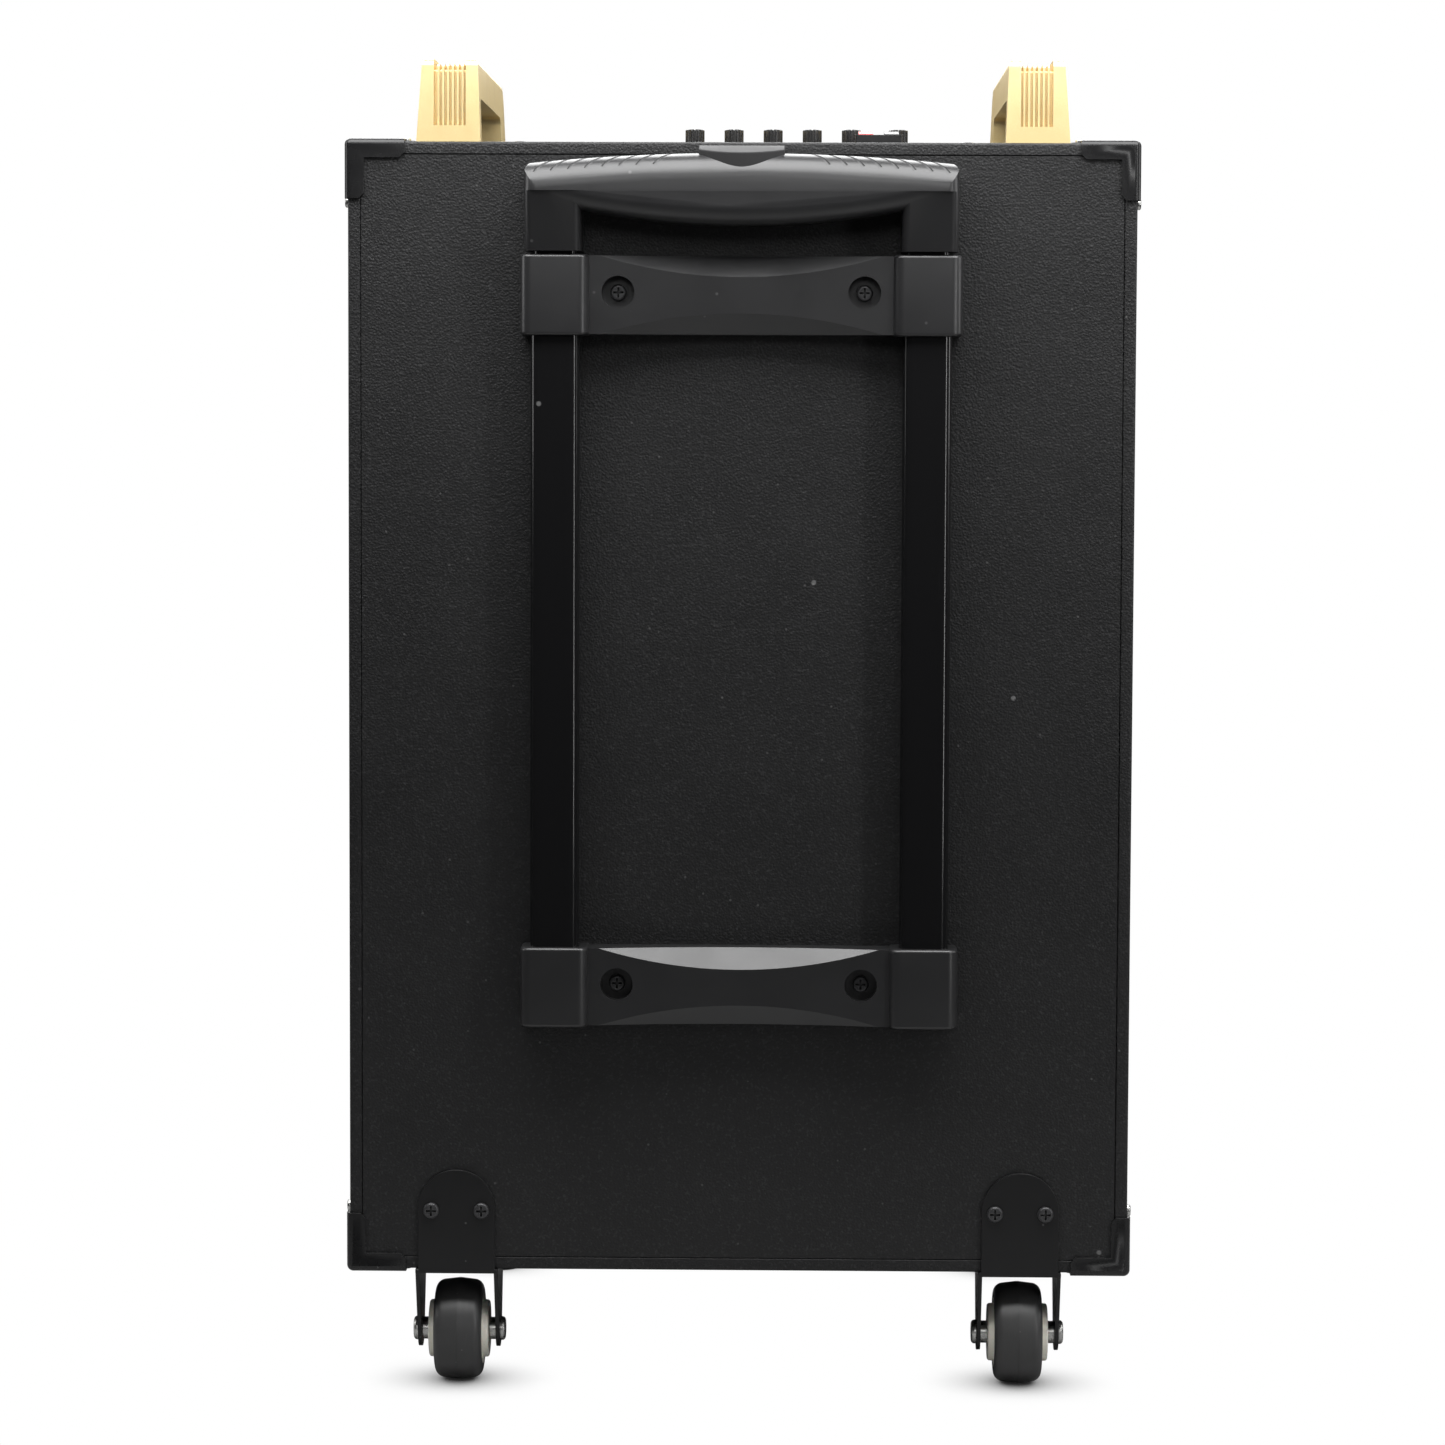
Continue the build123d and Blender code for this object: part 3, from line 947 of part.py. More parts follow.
def cables():
    """Insulated leads from the amplifier to the two drivers and the battery."""
    z = BOARD_Z - 2.2
    basket_y = BAFFLE_Y + BASKET_DEPTH - 6
    driver_y = BAFFLE_Y + HORN_DEPTH + DRIVER_LENGTH + 2.5
    battery_z = BASE_Z + WALL + BATTERY_H + 9
    runs = []
    for step in (0, 5):
        down = [(-70 - step, 10, z), (-72 - step, 6, z - 50), (-96 - step, 0, WOOFER_Z + 130)]
        down += [(-96 - step, basket_y + 30, WOOFER_Z + 50), (-74, basket_y, WOOFER_Z + 22 - step)]
        runs.append(down)
        top = [(30 + step, -28, z), (30 + step, -31, z - 14), (22 + step, driver_y + 6, HORN_Z + 20)]
        runs.append(top + [(14, driver_y, HORN_Z + 8 - 2 * step)])
    for side in (-1, 1):
        down = [(side * 75, 50, z), (side * 80, 54, z - 60), (side * 116, 84, z - 180)]
        down += [(side * 108, BATTERY_Y + 20, battery_z + 60), (side * 60, BATTERY_Y + 22, battery_z)]
        runs.append(down)
    wires = []
    for points in runs:
        path = Spline(*points)
        ring = Plane(origin=path @ 0, z_dir=path % 0) * Circle(1.4)
        wires.append(sweep(ring, path))
    nodes["cables"] = gather(wires)


def wood_screws():
    """Identical screws that hold the grille, drivers, ports, control panel, handles, feet and strap."""
    screws = []
    y = BAFFLE_Y
    for k in range(8):
        a = radians(22.5 + 45 * k)
        seat = (149 * cos(a), y - 4, WOOFER_Z + 149 * sin(a))
        screws.append(Screw(seat, (0, 1, 0), 16, drills=("woofer_basket", "front_baffle"), radius=1.6))
    for sx in (-1, 1):
        for sz in (-1, 1):
            seat = (sx * (HORN_W / 2 - 5.5), y - 4, HORN_Z + sz * (HORN_H / 2 - 5.5))
            screws.append(Screw(seat, (0, 1, 0), 16, drills=("tweeter_horn", "front_baffle"), radius=1.6))
            seat = (sx * (PANEL_X - 5), (PANEL_Y0 + PANEL_Y1) / 2 + sz * 65, PANEL_Z)
            screws.append(Screw(seat, (0, 0, -1), 11, drills=("control_panel", "top_panel"), radius=1.6))
            z = TOP_Z - WALL
            cy = CARRY_Y1 - 6 if sz > 0 else CARRY_Y0 + 20
            seat = (sx * 145.7, cy, z)
            screws.append(Screw(seat, (0, 0, 1), 20, drills=("top_panel", "carry_handles"), radius=1.6))
        seat = (sx * FOOT_X, FOOT_Y, BASE_Z - 10)
        screws.append(Screw(seat, (0, 0, 1), 20, drills=("front_feet", "bottom_panel"), radius=1.6))
    for side in (-1, 1):
        seat = (0, BATTERY_Y + side * (BATTERY_D / 2 + 9), BASE_Z + WALL + 1.5)
        screws.append(Screw(seat, (0, 0, -1), 10, drills=("battery_strap", "bottom_panel"), radius=1.6))
    add_screws("wood_screws", screws)


def grille_screws():
    """Six long screws through the grille into the baffle."""
    screws = []
    face = FRONT_Y + GRILLE_SET
    for sx in (-1, 1):
        for z in (BASE_Z + 20.5, BASE_Z + CAB_H / 2, TOP_Z - 20.5):
            x = sx * (HALF_W - 20.5)
            screws.append(Screw((x, face, z), (0, 1, 0), 27, drills=("front_grille", "front_baffle")))
    add_screws("grille_screws", screws)


# ================================================================ build
def build():
    wrap_panels()
    back_panel()
    front_baffle()
    woofer()
    horn()
    grille_and_ports()
    carry_handles()
    brackets_and_tubes()
    grip()
    sliding_frame()
    corner_set()
    castors()
    front_feet()
    control_panel()
    sockets()
    controls()
    electronics()
    cables()
    wood_screws()
    grille_screws()


def main():
    os.makedirs("parts", exist_ok=True)
    for old in os.listdir("parts"):
        os.remove(os.path.join("parts", old))
    build()
    for name, shape in nodes.items():
        export_step(shape, os.path.join("parts", name + ".step"))
    print(len(nodes), "nodes")


main()
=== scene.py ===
import json
from math import cos, pi, radians, sin, sqrt

import bmesh
import bpy
from mathutils import Matrix, Vector
from mathutils.bvhtree import BVHTree


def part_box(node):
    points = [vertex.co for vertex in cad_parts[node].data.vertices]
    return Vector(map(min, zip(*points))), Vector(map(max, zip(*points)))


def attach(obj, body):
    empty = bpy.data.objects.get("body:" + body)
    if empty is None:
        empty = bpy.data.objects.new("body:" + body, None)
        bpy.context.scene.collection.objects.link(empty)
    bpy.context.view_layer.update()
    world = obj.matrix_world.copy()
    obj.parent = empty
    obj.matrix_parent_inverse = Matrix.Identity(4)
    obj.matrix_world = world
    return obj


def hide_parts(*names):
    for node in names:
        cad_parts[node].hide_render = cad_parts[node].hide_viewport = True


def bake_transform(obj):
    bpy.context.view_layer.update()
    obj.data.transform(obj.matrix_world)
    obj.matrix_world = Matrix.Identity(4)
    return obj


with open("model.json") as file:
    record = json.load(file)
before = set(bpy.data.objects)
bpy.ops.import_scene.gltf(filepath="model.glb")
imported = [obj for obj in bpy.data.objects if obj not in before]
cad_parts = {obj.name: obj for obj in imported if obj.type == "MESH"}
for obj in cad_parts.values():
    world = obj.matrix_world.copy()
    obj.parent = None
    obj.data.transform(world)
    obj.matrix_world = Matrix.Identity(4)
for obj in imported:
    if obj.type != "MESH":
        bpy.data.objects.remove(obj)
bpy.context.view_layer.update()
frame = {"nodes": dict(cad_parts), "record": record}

MM = 0.001
CABINET = "cabinet"


def union_box(*names):
    """Lowest and highest corner of several CAD nodes together."""
    boxes = [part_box(name) for name in names]
    low = Vector([min(b[0][i] for b in boxes) for i in range(3)])
    high = Vector([max(b[1][i] for b in boxes) for i in range(3)])
    return low, high


wrap_low, wrap_high = union_box("top_panel", "bottom_panel", "side_panels")
HEIGHT = wrap_high.z - wrap_low.z
BACK_Y, FRONT_Y = wrap_high.y, wrap_low.y
BASE_Z, TOP_Z = wrap_low.z, wrap_high.z
BODIES = frame["record"]["behaviour"]["bodies"]
BODY_OF = {node: body for body, nodes in BODIES.items() for node in nodes}


# ================================================================ materials
class Finish:
    """Node tree of one material. Textures are in metres, in the row frame."""

    def __init__(self, name, colour, roughness, metallic=0.0, specular=0.5):
        self.material = bpy.data.materials.new(name)
        self.material.use_nodes = True
        self.material.diffuse_color = (*colour, 1)
        self.tree = self.material.node_tree
        self.shader = self.tree.nodes["Principled BSDF"]
        self.place = self.node("ShaderNodeTexCoord").outputs["Object"]
        self.colour = self.constant_colour(colour)
        self.rough = self.value(roughness)
        self.height = None
        self.shader.inputs["Metallic"].default_value = metallic
        self.shader.inputs["Specular IOR Level"].default_value = specular

    def node(self, kind, **settings):
        made = self.tree.nodes.new(kind)
        for key, value in settings.items():
            setattr(made, key, value)
        return made

    def link(self, source, target):
        self.tree.links.new(source, target)

    def value(self, number):
        made = self.node("ShaderNodeValue")
        made.outputs[0].default_value = number
        return made.outputs[0]

    def constant_colour(self, colour):
        made = self.node("ShaderNodeRGB")
        made.outputs[0].default_value = (*colour, 1)
        return made.outputs[0]

    def stretched(self, x, y, z):
        """The place, scaled along each axis, for grain that runs one way."""
        made = self.node("ShaderNodeMapping")
        made.inputs["Scale"].default_value = (x, y, z)
        self.link(self.place, made.inputs["Vector"])
        return made.outputs["Vector"]

    def noise(self, size, detail=2.0, roughness=0.5, at=None, distortion=0.0):
        """Noise whose blobs are about size metres across."""
        made = self.node("ShaderNodeTexNoise")
        made.inputs["Scale"].default_value = 1 / size
        made.inputs["Detail"].default_value = detail
        made.inputs["Roughness"].default_value = roughness
        made.inputs["Distortion"].default_value = distortion
        self.link(at or self.place, made.inputs["Vector"])
        return made.outputs["Fac"]

    def cells(self, size, feature="F1", smooth=0.0, output="Distance", at=None):
        made = self.node("ShaderNodeTexVoronoi", feature=feature)
        made.inputs["Scale"].default_value = 1 / size
        if feature == "SMOOTH_F1":
            made.inputs["Smoothness"].default_value = smooth
        self.link(at or self.place, made.inputs["Vector"])
        return made.outputs[output]

    def fit(self, source, low, high, to_low=0.0, to_high=1.0):
        """Maps low..high of source to to_low..to_high, clamped."""
        made = self.node("ShaderNodeMapRange")
        ends = {"From Min": low, "From Max": high, "To Min": to_low, "To Max": to_high}
        for key, number in ends.items():
            made.inputs[key].default_value = number
        self.link(source, made.inputs["Value"])
        return made.outputs["Result"]

    def math(self, operation, a, b):
        made = self.node("ShaderNodeMath", operation=operation)
        for socket, source in zip(made.inputs, (a, b)):
            if isinstance(source, (int, float)):
                socket.default_value = source
            else:
                self.link(source, socket)
        return made.outputs[0]

    def paint(self, mask, colour):
        """Lays a colour over what is there, where the mask is 1."""
        made = self.node("ShaderNodeMix", data_type="RGBA")
        self.link(mask, made.inputs["Factor"])
        self.link(self.colour, made.inputs["A"])
        made.inputs["B"].default_value = (*colour, 1)
        self.colour = made.outputs["Result"]
        return self

    def vary_rough(self, mask, amount):
        """Adds amount times (mask - 0.5) to the roughness."""
        centred = self.math("SUBTRACT", mask, 0.5)
        self.rough = self.math("ADD", self.rough, self.math("MULTIPLY", centred, amount))
        return self

    def raise_by(self, source, depth):
        """Adds relief of a depth in metres."""
        part = self.math("MULTIPLY", source, depth)
        self.height = part if self.height is None else self.math("ADD", self.height, part)
        return self

    def edge_mask(self, radius):
        """1 along convex edges and 0 on flat faces."""
        bevel = self.node("ShaderNodeBevel", samples=4)
        bevel.inputs["Radius"].default_value = radius
        flat = self.node("ShaderNodeNewGeometry").outputs["Normal"]
        dot = self.node("ShaderNodeVectorMath", operation="DOT_PRODUCT")
        self.link(bevel.outputs["Normal"], dot.inputs[0])
        self.link(flat, dot.inputs[1])
        return self.fit(dot.outputs["Value"], 0.98, 0.80)

    def hollow(self, reach):
        """1 in the open, falling towards 0 in grooves and corners within a reach."""
        made = self.node("ShaderNodeAmbientOcclusion", samples=8)
        made.inputs["Distance"].default_value = reach
        return made.outputs["AO"]

    def done(self, **extra):
        self.link(self.colour, self.shader.inputs["Base Color"])
        self.link(self.rough, self.shader.inputs["Roughness"])
        for key, number in extra.items():
            self.shader.inputs[key.replace("_", " ")].default_value = number
        if self.height is not None:
            bump = self.node("ShaderNodeBump")
            bump.inputs["Strength"].default_value = 1.0
            bump.inputs["Distance"].default_value = 1.0
            self.link(self.height, bump.inputs["Height"])
            self.link(bump.outputs["Normal"], self.shader.inputs["Normal"])
        return self.material


def specks(finish, size, share, colour):
    """Sparse small dots, such as dust, covering about a share of the cells."""
    near = finish.fit(finish.cells(size), 0.16, 0.10)
    pick = finish.node("ShaderNodeSeparateColor")
    finish.link(finish.cells(size, output="Color"), pick.inputs[0])
    chosen = finish.math("GREATER_THAN", pick.outputs[0], 1 - share)
    return finish.paint(finish.math("MULTIPLY", near, chosen), colour)


def vinyl():
    """Pebble-grained black PVC wrap with a little dust."""
    f = Finish("vinyl", (0.0135, 0.0135, 0.0140), 0.48, specular=0.44)
    pebble = f.cells(1.25 * MM, "SMOOTH_F1", 0.35)
    f.raise_by(f.fit(pebble, 0.0, 0.7, 1.0, 0.0), 0.16 * MM)
    f.raise_by(f.noise(0.9 * MM, 3.0, 0.6), 0.15 * MM)
    f.raise_by(f.noise(9 * MM, 3.0), 0.10 * MM)
    f.vary_rough(f.noise(38 * MM, 4.0), 0.16)
    f.vary_rough(f.noise(2.4 * MM, 2.0), 0.14)
    f.paint(f.fit(f.noise(60 * MM, 4.0, 0.6), 0.45, 0.75, 0.0, 0.5), (0.0185, 0.0185, 0.0190))
    f.paint(f.fit(f.noise(1.4 * MM, 2.0), 0.55, 0.72, 0.0, 0.9), (0.034, 0.034, 0.035))
    specks(f, 4.5 * MM, 0.035, (0.075, 0.075, 0.075))
    specks(f, 9.0 * MM, 0.012, (0.16, 0.16, 0.16))
    return f.done()


def nylon(name="satin_nylon", roughness=0.34, specular=0.85):
    """Black moulded nylon with a fine spark-eroded grain."""
    f = Finish(name, (0.018, 0.018, 0.019), roughness, specular=specular)
    f.raise_by(f.noise(0.28 * MM, 3.0, 0.65), 0.018 * MM)
    f.raise_by(f.noise(12 * MM, 2.0), 0.05 * MM)
    f.vary_rough(f.noise(22 * MM, 4.0), 0.14)
    f.vary_rough(f.noise(0.9 * MM, 2.0), 0.08)
    f.paint(f.fit(f.noise(30 * MM, 4.0, 0.6), 0.5, 0.8, 0.0, 0.5), (0.022, 0.022, 0.023))
    specks(f, 6.0 * MM, 0.02, (0.08, 0.08, 0.08))
    return f.done()


def gloss_enamel():
    """Gloss black enamel on drawn tube, with faint sliding scratches."""
    f = Finish("gloss_enamel", (0.008, 0.008, 0.0085), 0.16, specular=0.5)
    f.raise_by(f.noise(3.0 * MM, 2.0), 0.006 * MM)
    streaks = f.noise(1.0, 3.0, 0.6, at=f.stretched(1800, 1800, 14))
    f.vary_rough(streaks, 0.12)
    f.paint(f.fit(streaks, 0.72, 0.80, 0.0, 0.35), (0.05, 0.05, 0.05))
    specks(f, 9.0 * MM, 0.03, (0.14, 0.14, 0.14))
    return f.done(Coat_Weight=0.25)


def satin_enamel(name, colour, worn=(0.10, 0.10, 0.10), wear=0.35, roughness=0.36):
    """Black stoving enamel on pressed steel, slightly rubbed on its edges."""
    f = Finish(name, colour, roughness)
    f.raise_by(f.noise(0.7 * MM, 3.0, 0.6), 0.012 * MM)
    f.raise_by(f.noise(6 * MM, 2.0), 0.03 * MM)
    f.vary_rough(f.noise(9 * MM, 4.0), 0.18)
    rubbed = f.math("MULTIPLY", f.edge_mask(0.5 * MM), f.fit(f.noise(4 * MM, 4.0), 0.42, 0.62))
    f.paint(f.math("MULTIPLY", rubbed, wear), worn)
    specks(f, 4.0 * MM, 0.03, (0.10, 0.10, 0.10))
    return f.done()


def black_oxide():
    """Blackened steel screws: heads rubbed paler, with painted shade darkening the drives."""
    f = Finish("black_oxide", (0.075, 0.075, 0.078), 0.34, metallic=0.5)
    f.raise_by(f.noise(0.7 * MM, 3.0, 0.6), 0.012 * MM)
    f.vary_rough(f.noise(3 * MM, 4.0), 0.2)
    f.paint(f.math("MULTIPLY", f.edge_mask(0.5 * MM), 0.7), (0.30, 0.30, 0.30))
    # painted shade: an ambient-occlusion mask darkens the drive recesses almost to black
    f.paint(f.fit(f.hollow(1.6 * MM), 0.85, 0.45, 0.0, 0.95), (0.003, 0.003, 0.003))
    return f.done()


def bare_metal(name, colour, roughness):
    """Zinc-plated steel."""
    f = Finish(name, colour, roughness, metallic=1.0)
    f.raise_by(f.noise(1.0 * MM, 3.0, 0.6), 0.008 * MM)
    f.vary_rough(f.noise(3 * MM, 4.0), 0.22)
    dull = tuple(0.6 * c for c in colour)
    f.paint(f.fit(f.noise(5 * MM, 4.0, 0.65), 0.48, 0.75, 0.0, 0.7), dull)
    return f.done()


def gold_lacquer():
    """Metallic gold lacquer on plastic: fine flake, paler along its edges, and painted shade darkening
    the grooves.
    """
    f = Finish("gold_lacquer", (0.95, 0.74, 0.36), 0.36, metallic=0.62)
    f.paint(f.fit(f.noise(0.35 * MM, 2.0), 0.45, 0.75, 0.0, 0.5), (1.0, 0.87, 0.54))
    f.paint(f.fit(f.noise(14 * MM, 3.0), 0.45, 0.75, 0.0, 0.35), (0.84, 0.60, 0.25))
    f.paint(f.math("MULTIPLY", f.edge_mask(0.6 * MM), 0.5), (1.0, 0.88, 0.58))
    # painted shade: an ambient-occlusion mask darkens the grooves and inner corners
    f.paint(f.fit(f.hollow(2 * MM), 0.65, 0.15, 0.0, 0.6), (0.50, 0.33, 0.11))
    f.raise_by(f.noise(0.5 * MM, 2.0), 0.010 * MM)
    f.raise_by(f.noise(8 * MM, 2.0), 0.04 * MM)
    f.vary_rough(f.noise(1.0 * MM, 2.0), 0.12)
    f.vary_rough(f.noise(20 * MM, 3.0), 0.10)
    return f.done(Coat_Weight=0.3, Coat_Roughness=0.2)


def tyre_rubber():
    """Black polyurethane tread, dulled where it rolls."""
    f = Finish("tyre_rubber", (0.046, 0.046, 0.0465), 0.40, specular=0.65)
    f.raise_by(f.noise(0.6 * MM, 3.0), 0.02 * MM)
    f.raise_by(f.noise(7 * MM, 3.0), 0.06 * MM)
    f.vary_rough(f.noise(6 * MM, 4.0), 0.2)
    streak = f.noise(1.0, 4.0, 0.6, at=f.stretched(900, 120, 120))
    f.paint(f.fit(streak, 0.52, 0.75, 0.0, 0.4), (0.066, 0.064, 0.06))
    specks(f, 3.0 * MM, 0.05, (0.12, 0.12, 0.11))
    return f.done()


def ivory_nylon():
    f = Finish("ivory_nylon", (0.93, 0.91, 0.82), 0.34)
    f.paint(f.fit(f.noise(5 * MM, 4.0), 0.45, 0.8, 0.0, 0.4), (0.70, 0.65, 0.54))
    f.paint(f.fit(f.noise(1.5 * MM, 3.0), 0.66, 0.8, 0.0, 0.4), (0.35, 0.32, 0.26))
    f.raise_by(f.noise(0.8 * MM, 2.0), 0.015 * MM)
    f.vary_rough(f.noise(3 * MM, 3.0), 0.15)
    return f.done(Subsurface_Weight=0.08, Subsurface_Scale=0.002)


def moulded_rubber():
    f = Finish("moulded_rubber", (0.02, 0.02, 0.021), 0.62)
    f.raise_by(f.noise(0.5 * MM, 3.0), 0.04 * MM)
    f.paint(f.fit(f.noise(10 * MM, 4.0), 0.5, 0.8, 0.0, 0.5), (0.045, 0.044, 0.042))
    f.vary_rough(f.noise(5 * MM, 3.0), 0.15)
    return f.done()


def powder_coat():
    """Black powder coat with its fine orange peel."""
    f = Finish("powder_coat", (0.012, 0.012, 0.0125), 0.42)
    f.raise_by(f.cells(0.5 * MM, "SMOOTH_F1", 0.6), 0.02 * MM)
    f.vary_rough(f.noise(15 * MM, 3.0), 0.12)
    specks(f, 5.0 * MM, 0.03, (0.12, 0.12, 0.12))
    return f.done()


def gloss_abs(name, colour):
    f = Finish(name, colour, 0.24)
    f.raise_by(f.noise(1.2 * MM, 2.0), 0.006 * MM)
    f.vary_rough(f.noise(4 * MM, 4.0), 0.16)
    paler = tuple(min(1.0, 1.5 * c + 0.01) for c in colour)
    f.paint(f.math("MULTIPLY", f.edge_mask(0.3 * MM), 0.5), paler)
    return f.done()


def paper_pulp():
    """Black pressed paper with fibres and fine concentric ribs."""
    f = Finish("paper_pulp", (0.02, 0.02, 0.0205), 0.72)
    f.raise_by(f.noise(1.2 * MM, 5.0, 0.7, distortion=1.5), 0.12 * MM)
    f.paint(f.fit(f.noise(2 * MM, 5.0, 0.7), 0.5, 0.75, 0.0, 0.6), (0.05, 0.05, 0.05))
    return f.done(Sheen_Weight=0.2)


def treated_cloth():
    """Doped black cloth of the cone's surround."""
    f = Finish("treated_cloth", (0.018, 0.018, 0.018), 0.5)
    weave = f.node("ShaderNodeTexWave", bands_direction="X")
    weave.inputs["Scale"].default_value = 1 / (2.5 * MM)
    f.link(f.place, weave.inputs["Vector"])
    across = f.node("ShaderNodeTexWave", bands_direction="Z")
    across.inputs["Scale"].default_value = 1 / (2.5 * MM)
    f.link(f.place, across.inputs["Vector"])
    f.raise_by(f.math("MULTIPLY", weave.outputs["Fac"], across.outputs["Fac"]), 0.08 * MM)
    f.vary_rough(f.noise(4 * MM, 3.0), 0.2)
    return f.done()


def stained_board():
    """Black-stained fibreboard."""
    f = Finish("stained_board", (0.016, 0.015, 0.014), 0.68)
    f.raise_by(f.noise(0.8 * MM, 4.0, 0.7), 0.05 * MM)
    f.paint(f.fit(f.noise(1.5 * MM, 4.0), 0.55, 0.75, 0.0, 0.5), (0.04, 0.035, 0.03))
    return f.done()


def circuit_board():
    f = Finish("circuit_board", (0.02, 0.10, 0.045), 0.35)
    f.paint(f.fit(f.cells(3 * MM), 0.30, 0.34, 0.0, 0.5), (0.05, 0.20, 0.08))
    return f.done()


def smoked_acrylic():
    f = Finish("smoked_acrylic", (0.010, 0.006, 0.006), 0.06)
    f.vary_rough(f.noise(12 * MM, 3.0), 0.06)
    f.raise_by(f.noise(18 * MM, 2.0), 0.01 * MM)
    return f.done(Coat_Weight=0.6)


def print_ink(name, colour):
    """Thin screen print, slightly broken."""
    f = Finish(name, colour, 0.5)
    dim = tuple(0.75 * c for c in colour)
    f.paint(f.fit(f.noise(0.6 * MM, 3.0), 0.5, 0.8, 0.0, 0.7), dim)
    return f.done()


def brushed_panel():
    """Satin black panel with hairline brushing across the speaker."""
    f = Finish("brushed_panel", (0.022, 0.022, 0.023), 0.34, metallic=0.4)
    hair = f.noise(1.0, 3.0, 0.6, at=f.stretched(30, 4000, 4000))
    f.raise_by(hair, 0.01 * MM)
    f.vary_rough(hair, 0.3)
    return f.done()


MATERIALS = {
    "wrap": vinyl(),
    "nylon": nylon(),
    "tube": gloss_enamel(),
    "corner": satin_enamel("corner_enamel", (0.011, 0.011, 0.0115), roughness=0.27),
    "castor_steel": satin_enamel("castor_enamel", (0.0075, 0.0075, 0.008), wear=0.2),
    "black_screw": black_oxide(),
    "zinc": bare_metal("zinc_plate", (0.66, 0.66, 0.64), 0.28),
    "gold": gold_lacquer(),
    "tyre": tyre_rubber(),
    "hub": ivory_nylon(),
    "foot_rubber": moulded_rubber(),
    "grille": powder_coat(),
    "panel": brushed_panel(),
    "gloss": gloss_abs("black_abs", (0.016, 0.016, 0.0165)),
    "red_plastic": gloss_abs("red_abs", (0.42, 0.015, 0.015)),
    "paper": paper_pulp(),
    "surround": treated_cloth(),
    "board": stained_board(),
    "board_green": circuit_board(),
    "window": smoked_acrylic(),
    "basket": satin_enamel("basket_enamel", (0.02, 0.02, 0.021)),
    "ferrite": satin_enamel("ferrite", (0.05, 0.05, 0.052)),
    "battery_case": gloss_abs("battery_case", (0.10, 0.11, 0.13)),
    "cable": gloss_abs("cable_pvc", (0.25, 0.012, 0.012)),
}
WHITE_PRINT = print_ink("white_print", (0.62, 0.62, 0.60))
DIM_RED_PRINT = print_ink("segment_red", (0.16, 0.012, 0.010))
SLOT_OF = {part["node"]: part["material_slot"] for part in frame["record"]["subparts"]}
KNOBS = [node for node in SLOT_OF if node.endswith("_knob")]


# ================================================================ mesh tools
def settle(bm, sharp_degrees=32):
    """Smooth shading everywhere except across edges sharper than an angle."""
    limit = radians(sharp_degrees)
    for face in bm.faces:
        face.smooth = True
    for edge in bm.edges:
        edge.smooth = len(edge.link_faces) == 2 and edge.calc_face_angle(pi) < limit


def piece(name, bm, slot, body=CABINET, replaced=(), material=None, sharp=32):
    """Turns a bmesh into a shown piece that rides a body, if one is given, and stands for CAD nodes."""
    settle(bm, sharp)
    mesh = bpy.data.meshes.new(name)
    bm.to_mesh(mesh)
    bm.free()
    made = bpy.data.objects.new(name, mesh)
    bpy.context.scene.collection.objects.link(made)
    mesh.materials.append(material or MATERIALS[slot])
    if body:
        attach(made, body)
    if replaced:
        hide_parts(*replaced)
    return made


def add_bevel(made, width, segments=3, degrees=30):
    bevel = made.modifiers.new("soft_edges", "BEVEL")
    bevel.width = width
    bevel.segments = segments
    bevel.limit_method = "ANGLE"
    bevel.angle_limit = radians(degrees)
    bevel.harden_normals = False
    bevel.use_clamp_overlap = True
    return made


def node_mesh(node):
    """A welded copy of a CAD node's mesh, with its flat faces in one piece."""
    bm = bmesh.new()
    bm.from_mesh(frame["nodes"][node].data)
    bmesh.ops.remove_doubles(bm, verts=bm.verts, dist=0.002 * MM)
    bmesh.ops.dissolve_limit(bm, angle_limit=radians(0.5), verts=bm.verts, edges=bm.edges)
    return bm


def refine(node, bevel=None, sharp=32, segments=3, material=None):
    """Shows a CAD node with clean shading, softened edges and its slot's finish."""
    slot = SLOT_OF[node]
    made = piece("show_" + node, node_mesh(node), slot, BODY_OF[node], (node,), material, sharp)
    if bevel:
        add_bevel(made, bevel, segments)
    return made


def add_loops(bm, loops, closed_round=True, closed_profile=True):
    """Joins rings of equal point count with quads."""
    rings = [[bm.verts.new(p) for p in loop] for loop in loops]
    count = len(rings[0])
    pairs = len(rings) if closed_round else len(rings) - 1
    steps = count if closed_profile else count - 1
    for i in range(pairs):
        a, b = rings[i], rings[(i + 1) % len(rings)]
        for k in range(steps):
            n = (k + 1) % count
            bm.faces.new((a[k], a[n], b[n], b[k]))
    return rings


def clean(bm, distance=0.002 * MM):
    bmesh.ops.remove_doubles(bm, verts=bm.verts, dist=distance)
    bmesh.ops.recalc_face_normals(bm, faces=bm.faces)
    return bm


def turned(centre, axis, outline, steps=96):
    """Turns a closed (along, radius) outline about an axis 'x', 'y' or 'z' through a centre."""
    bm = bmesh.new()
    loops = []
    for k in range(steps):
        a = 2 * pi * k / steps
        ring = []
        for along, radius in outline:
            c, s = radius * cos(a), radius * sin(a)
            offset = {"x": (along, c, s), "y": (c, along, s), "z": (c, s, along)}[axis]
            ring.append(Vector(centre) + Vector(offset))
        loops.append(ring)
    add_loops(bm, loops)
    return clean(bm)


def arc(centre, radius, start, end, steps):
    """Points on an arc, angles in degrees."""
    out = []
    for k in range(steps + 1):
        a = radians(start + (end - start) * k / steps)
        out.append((centre[0] + radius * cos(a), centre[1] + radius * sin(a)))
    return out


def rounded_frame(low_x, high_x, low_z, high_z, radius, steps=6):
    """Points and inward corner data of a rounded rectangle in (X, Z)."""
    corners = (
        (high_x, high_z, 0),
        (low_x, high_z, 90),
        (low_x, low_z, 180),
        (high_x, low_z, 270),
    )
    path = []
    for x, z, start in corners:
        sign_x = -1 if x == high_x else 1
        sign_z = -1 if z == high_z else 1
        for k in range(steps + 1):
            path.append((x, z, sign_x, sign_z, radius, radians(start + 90 * k / steps)))
    return path


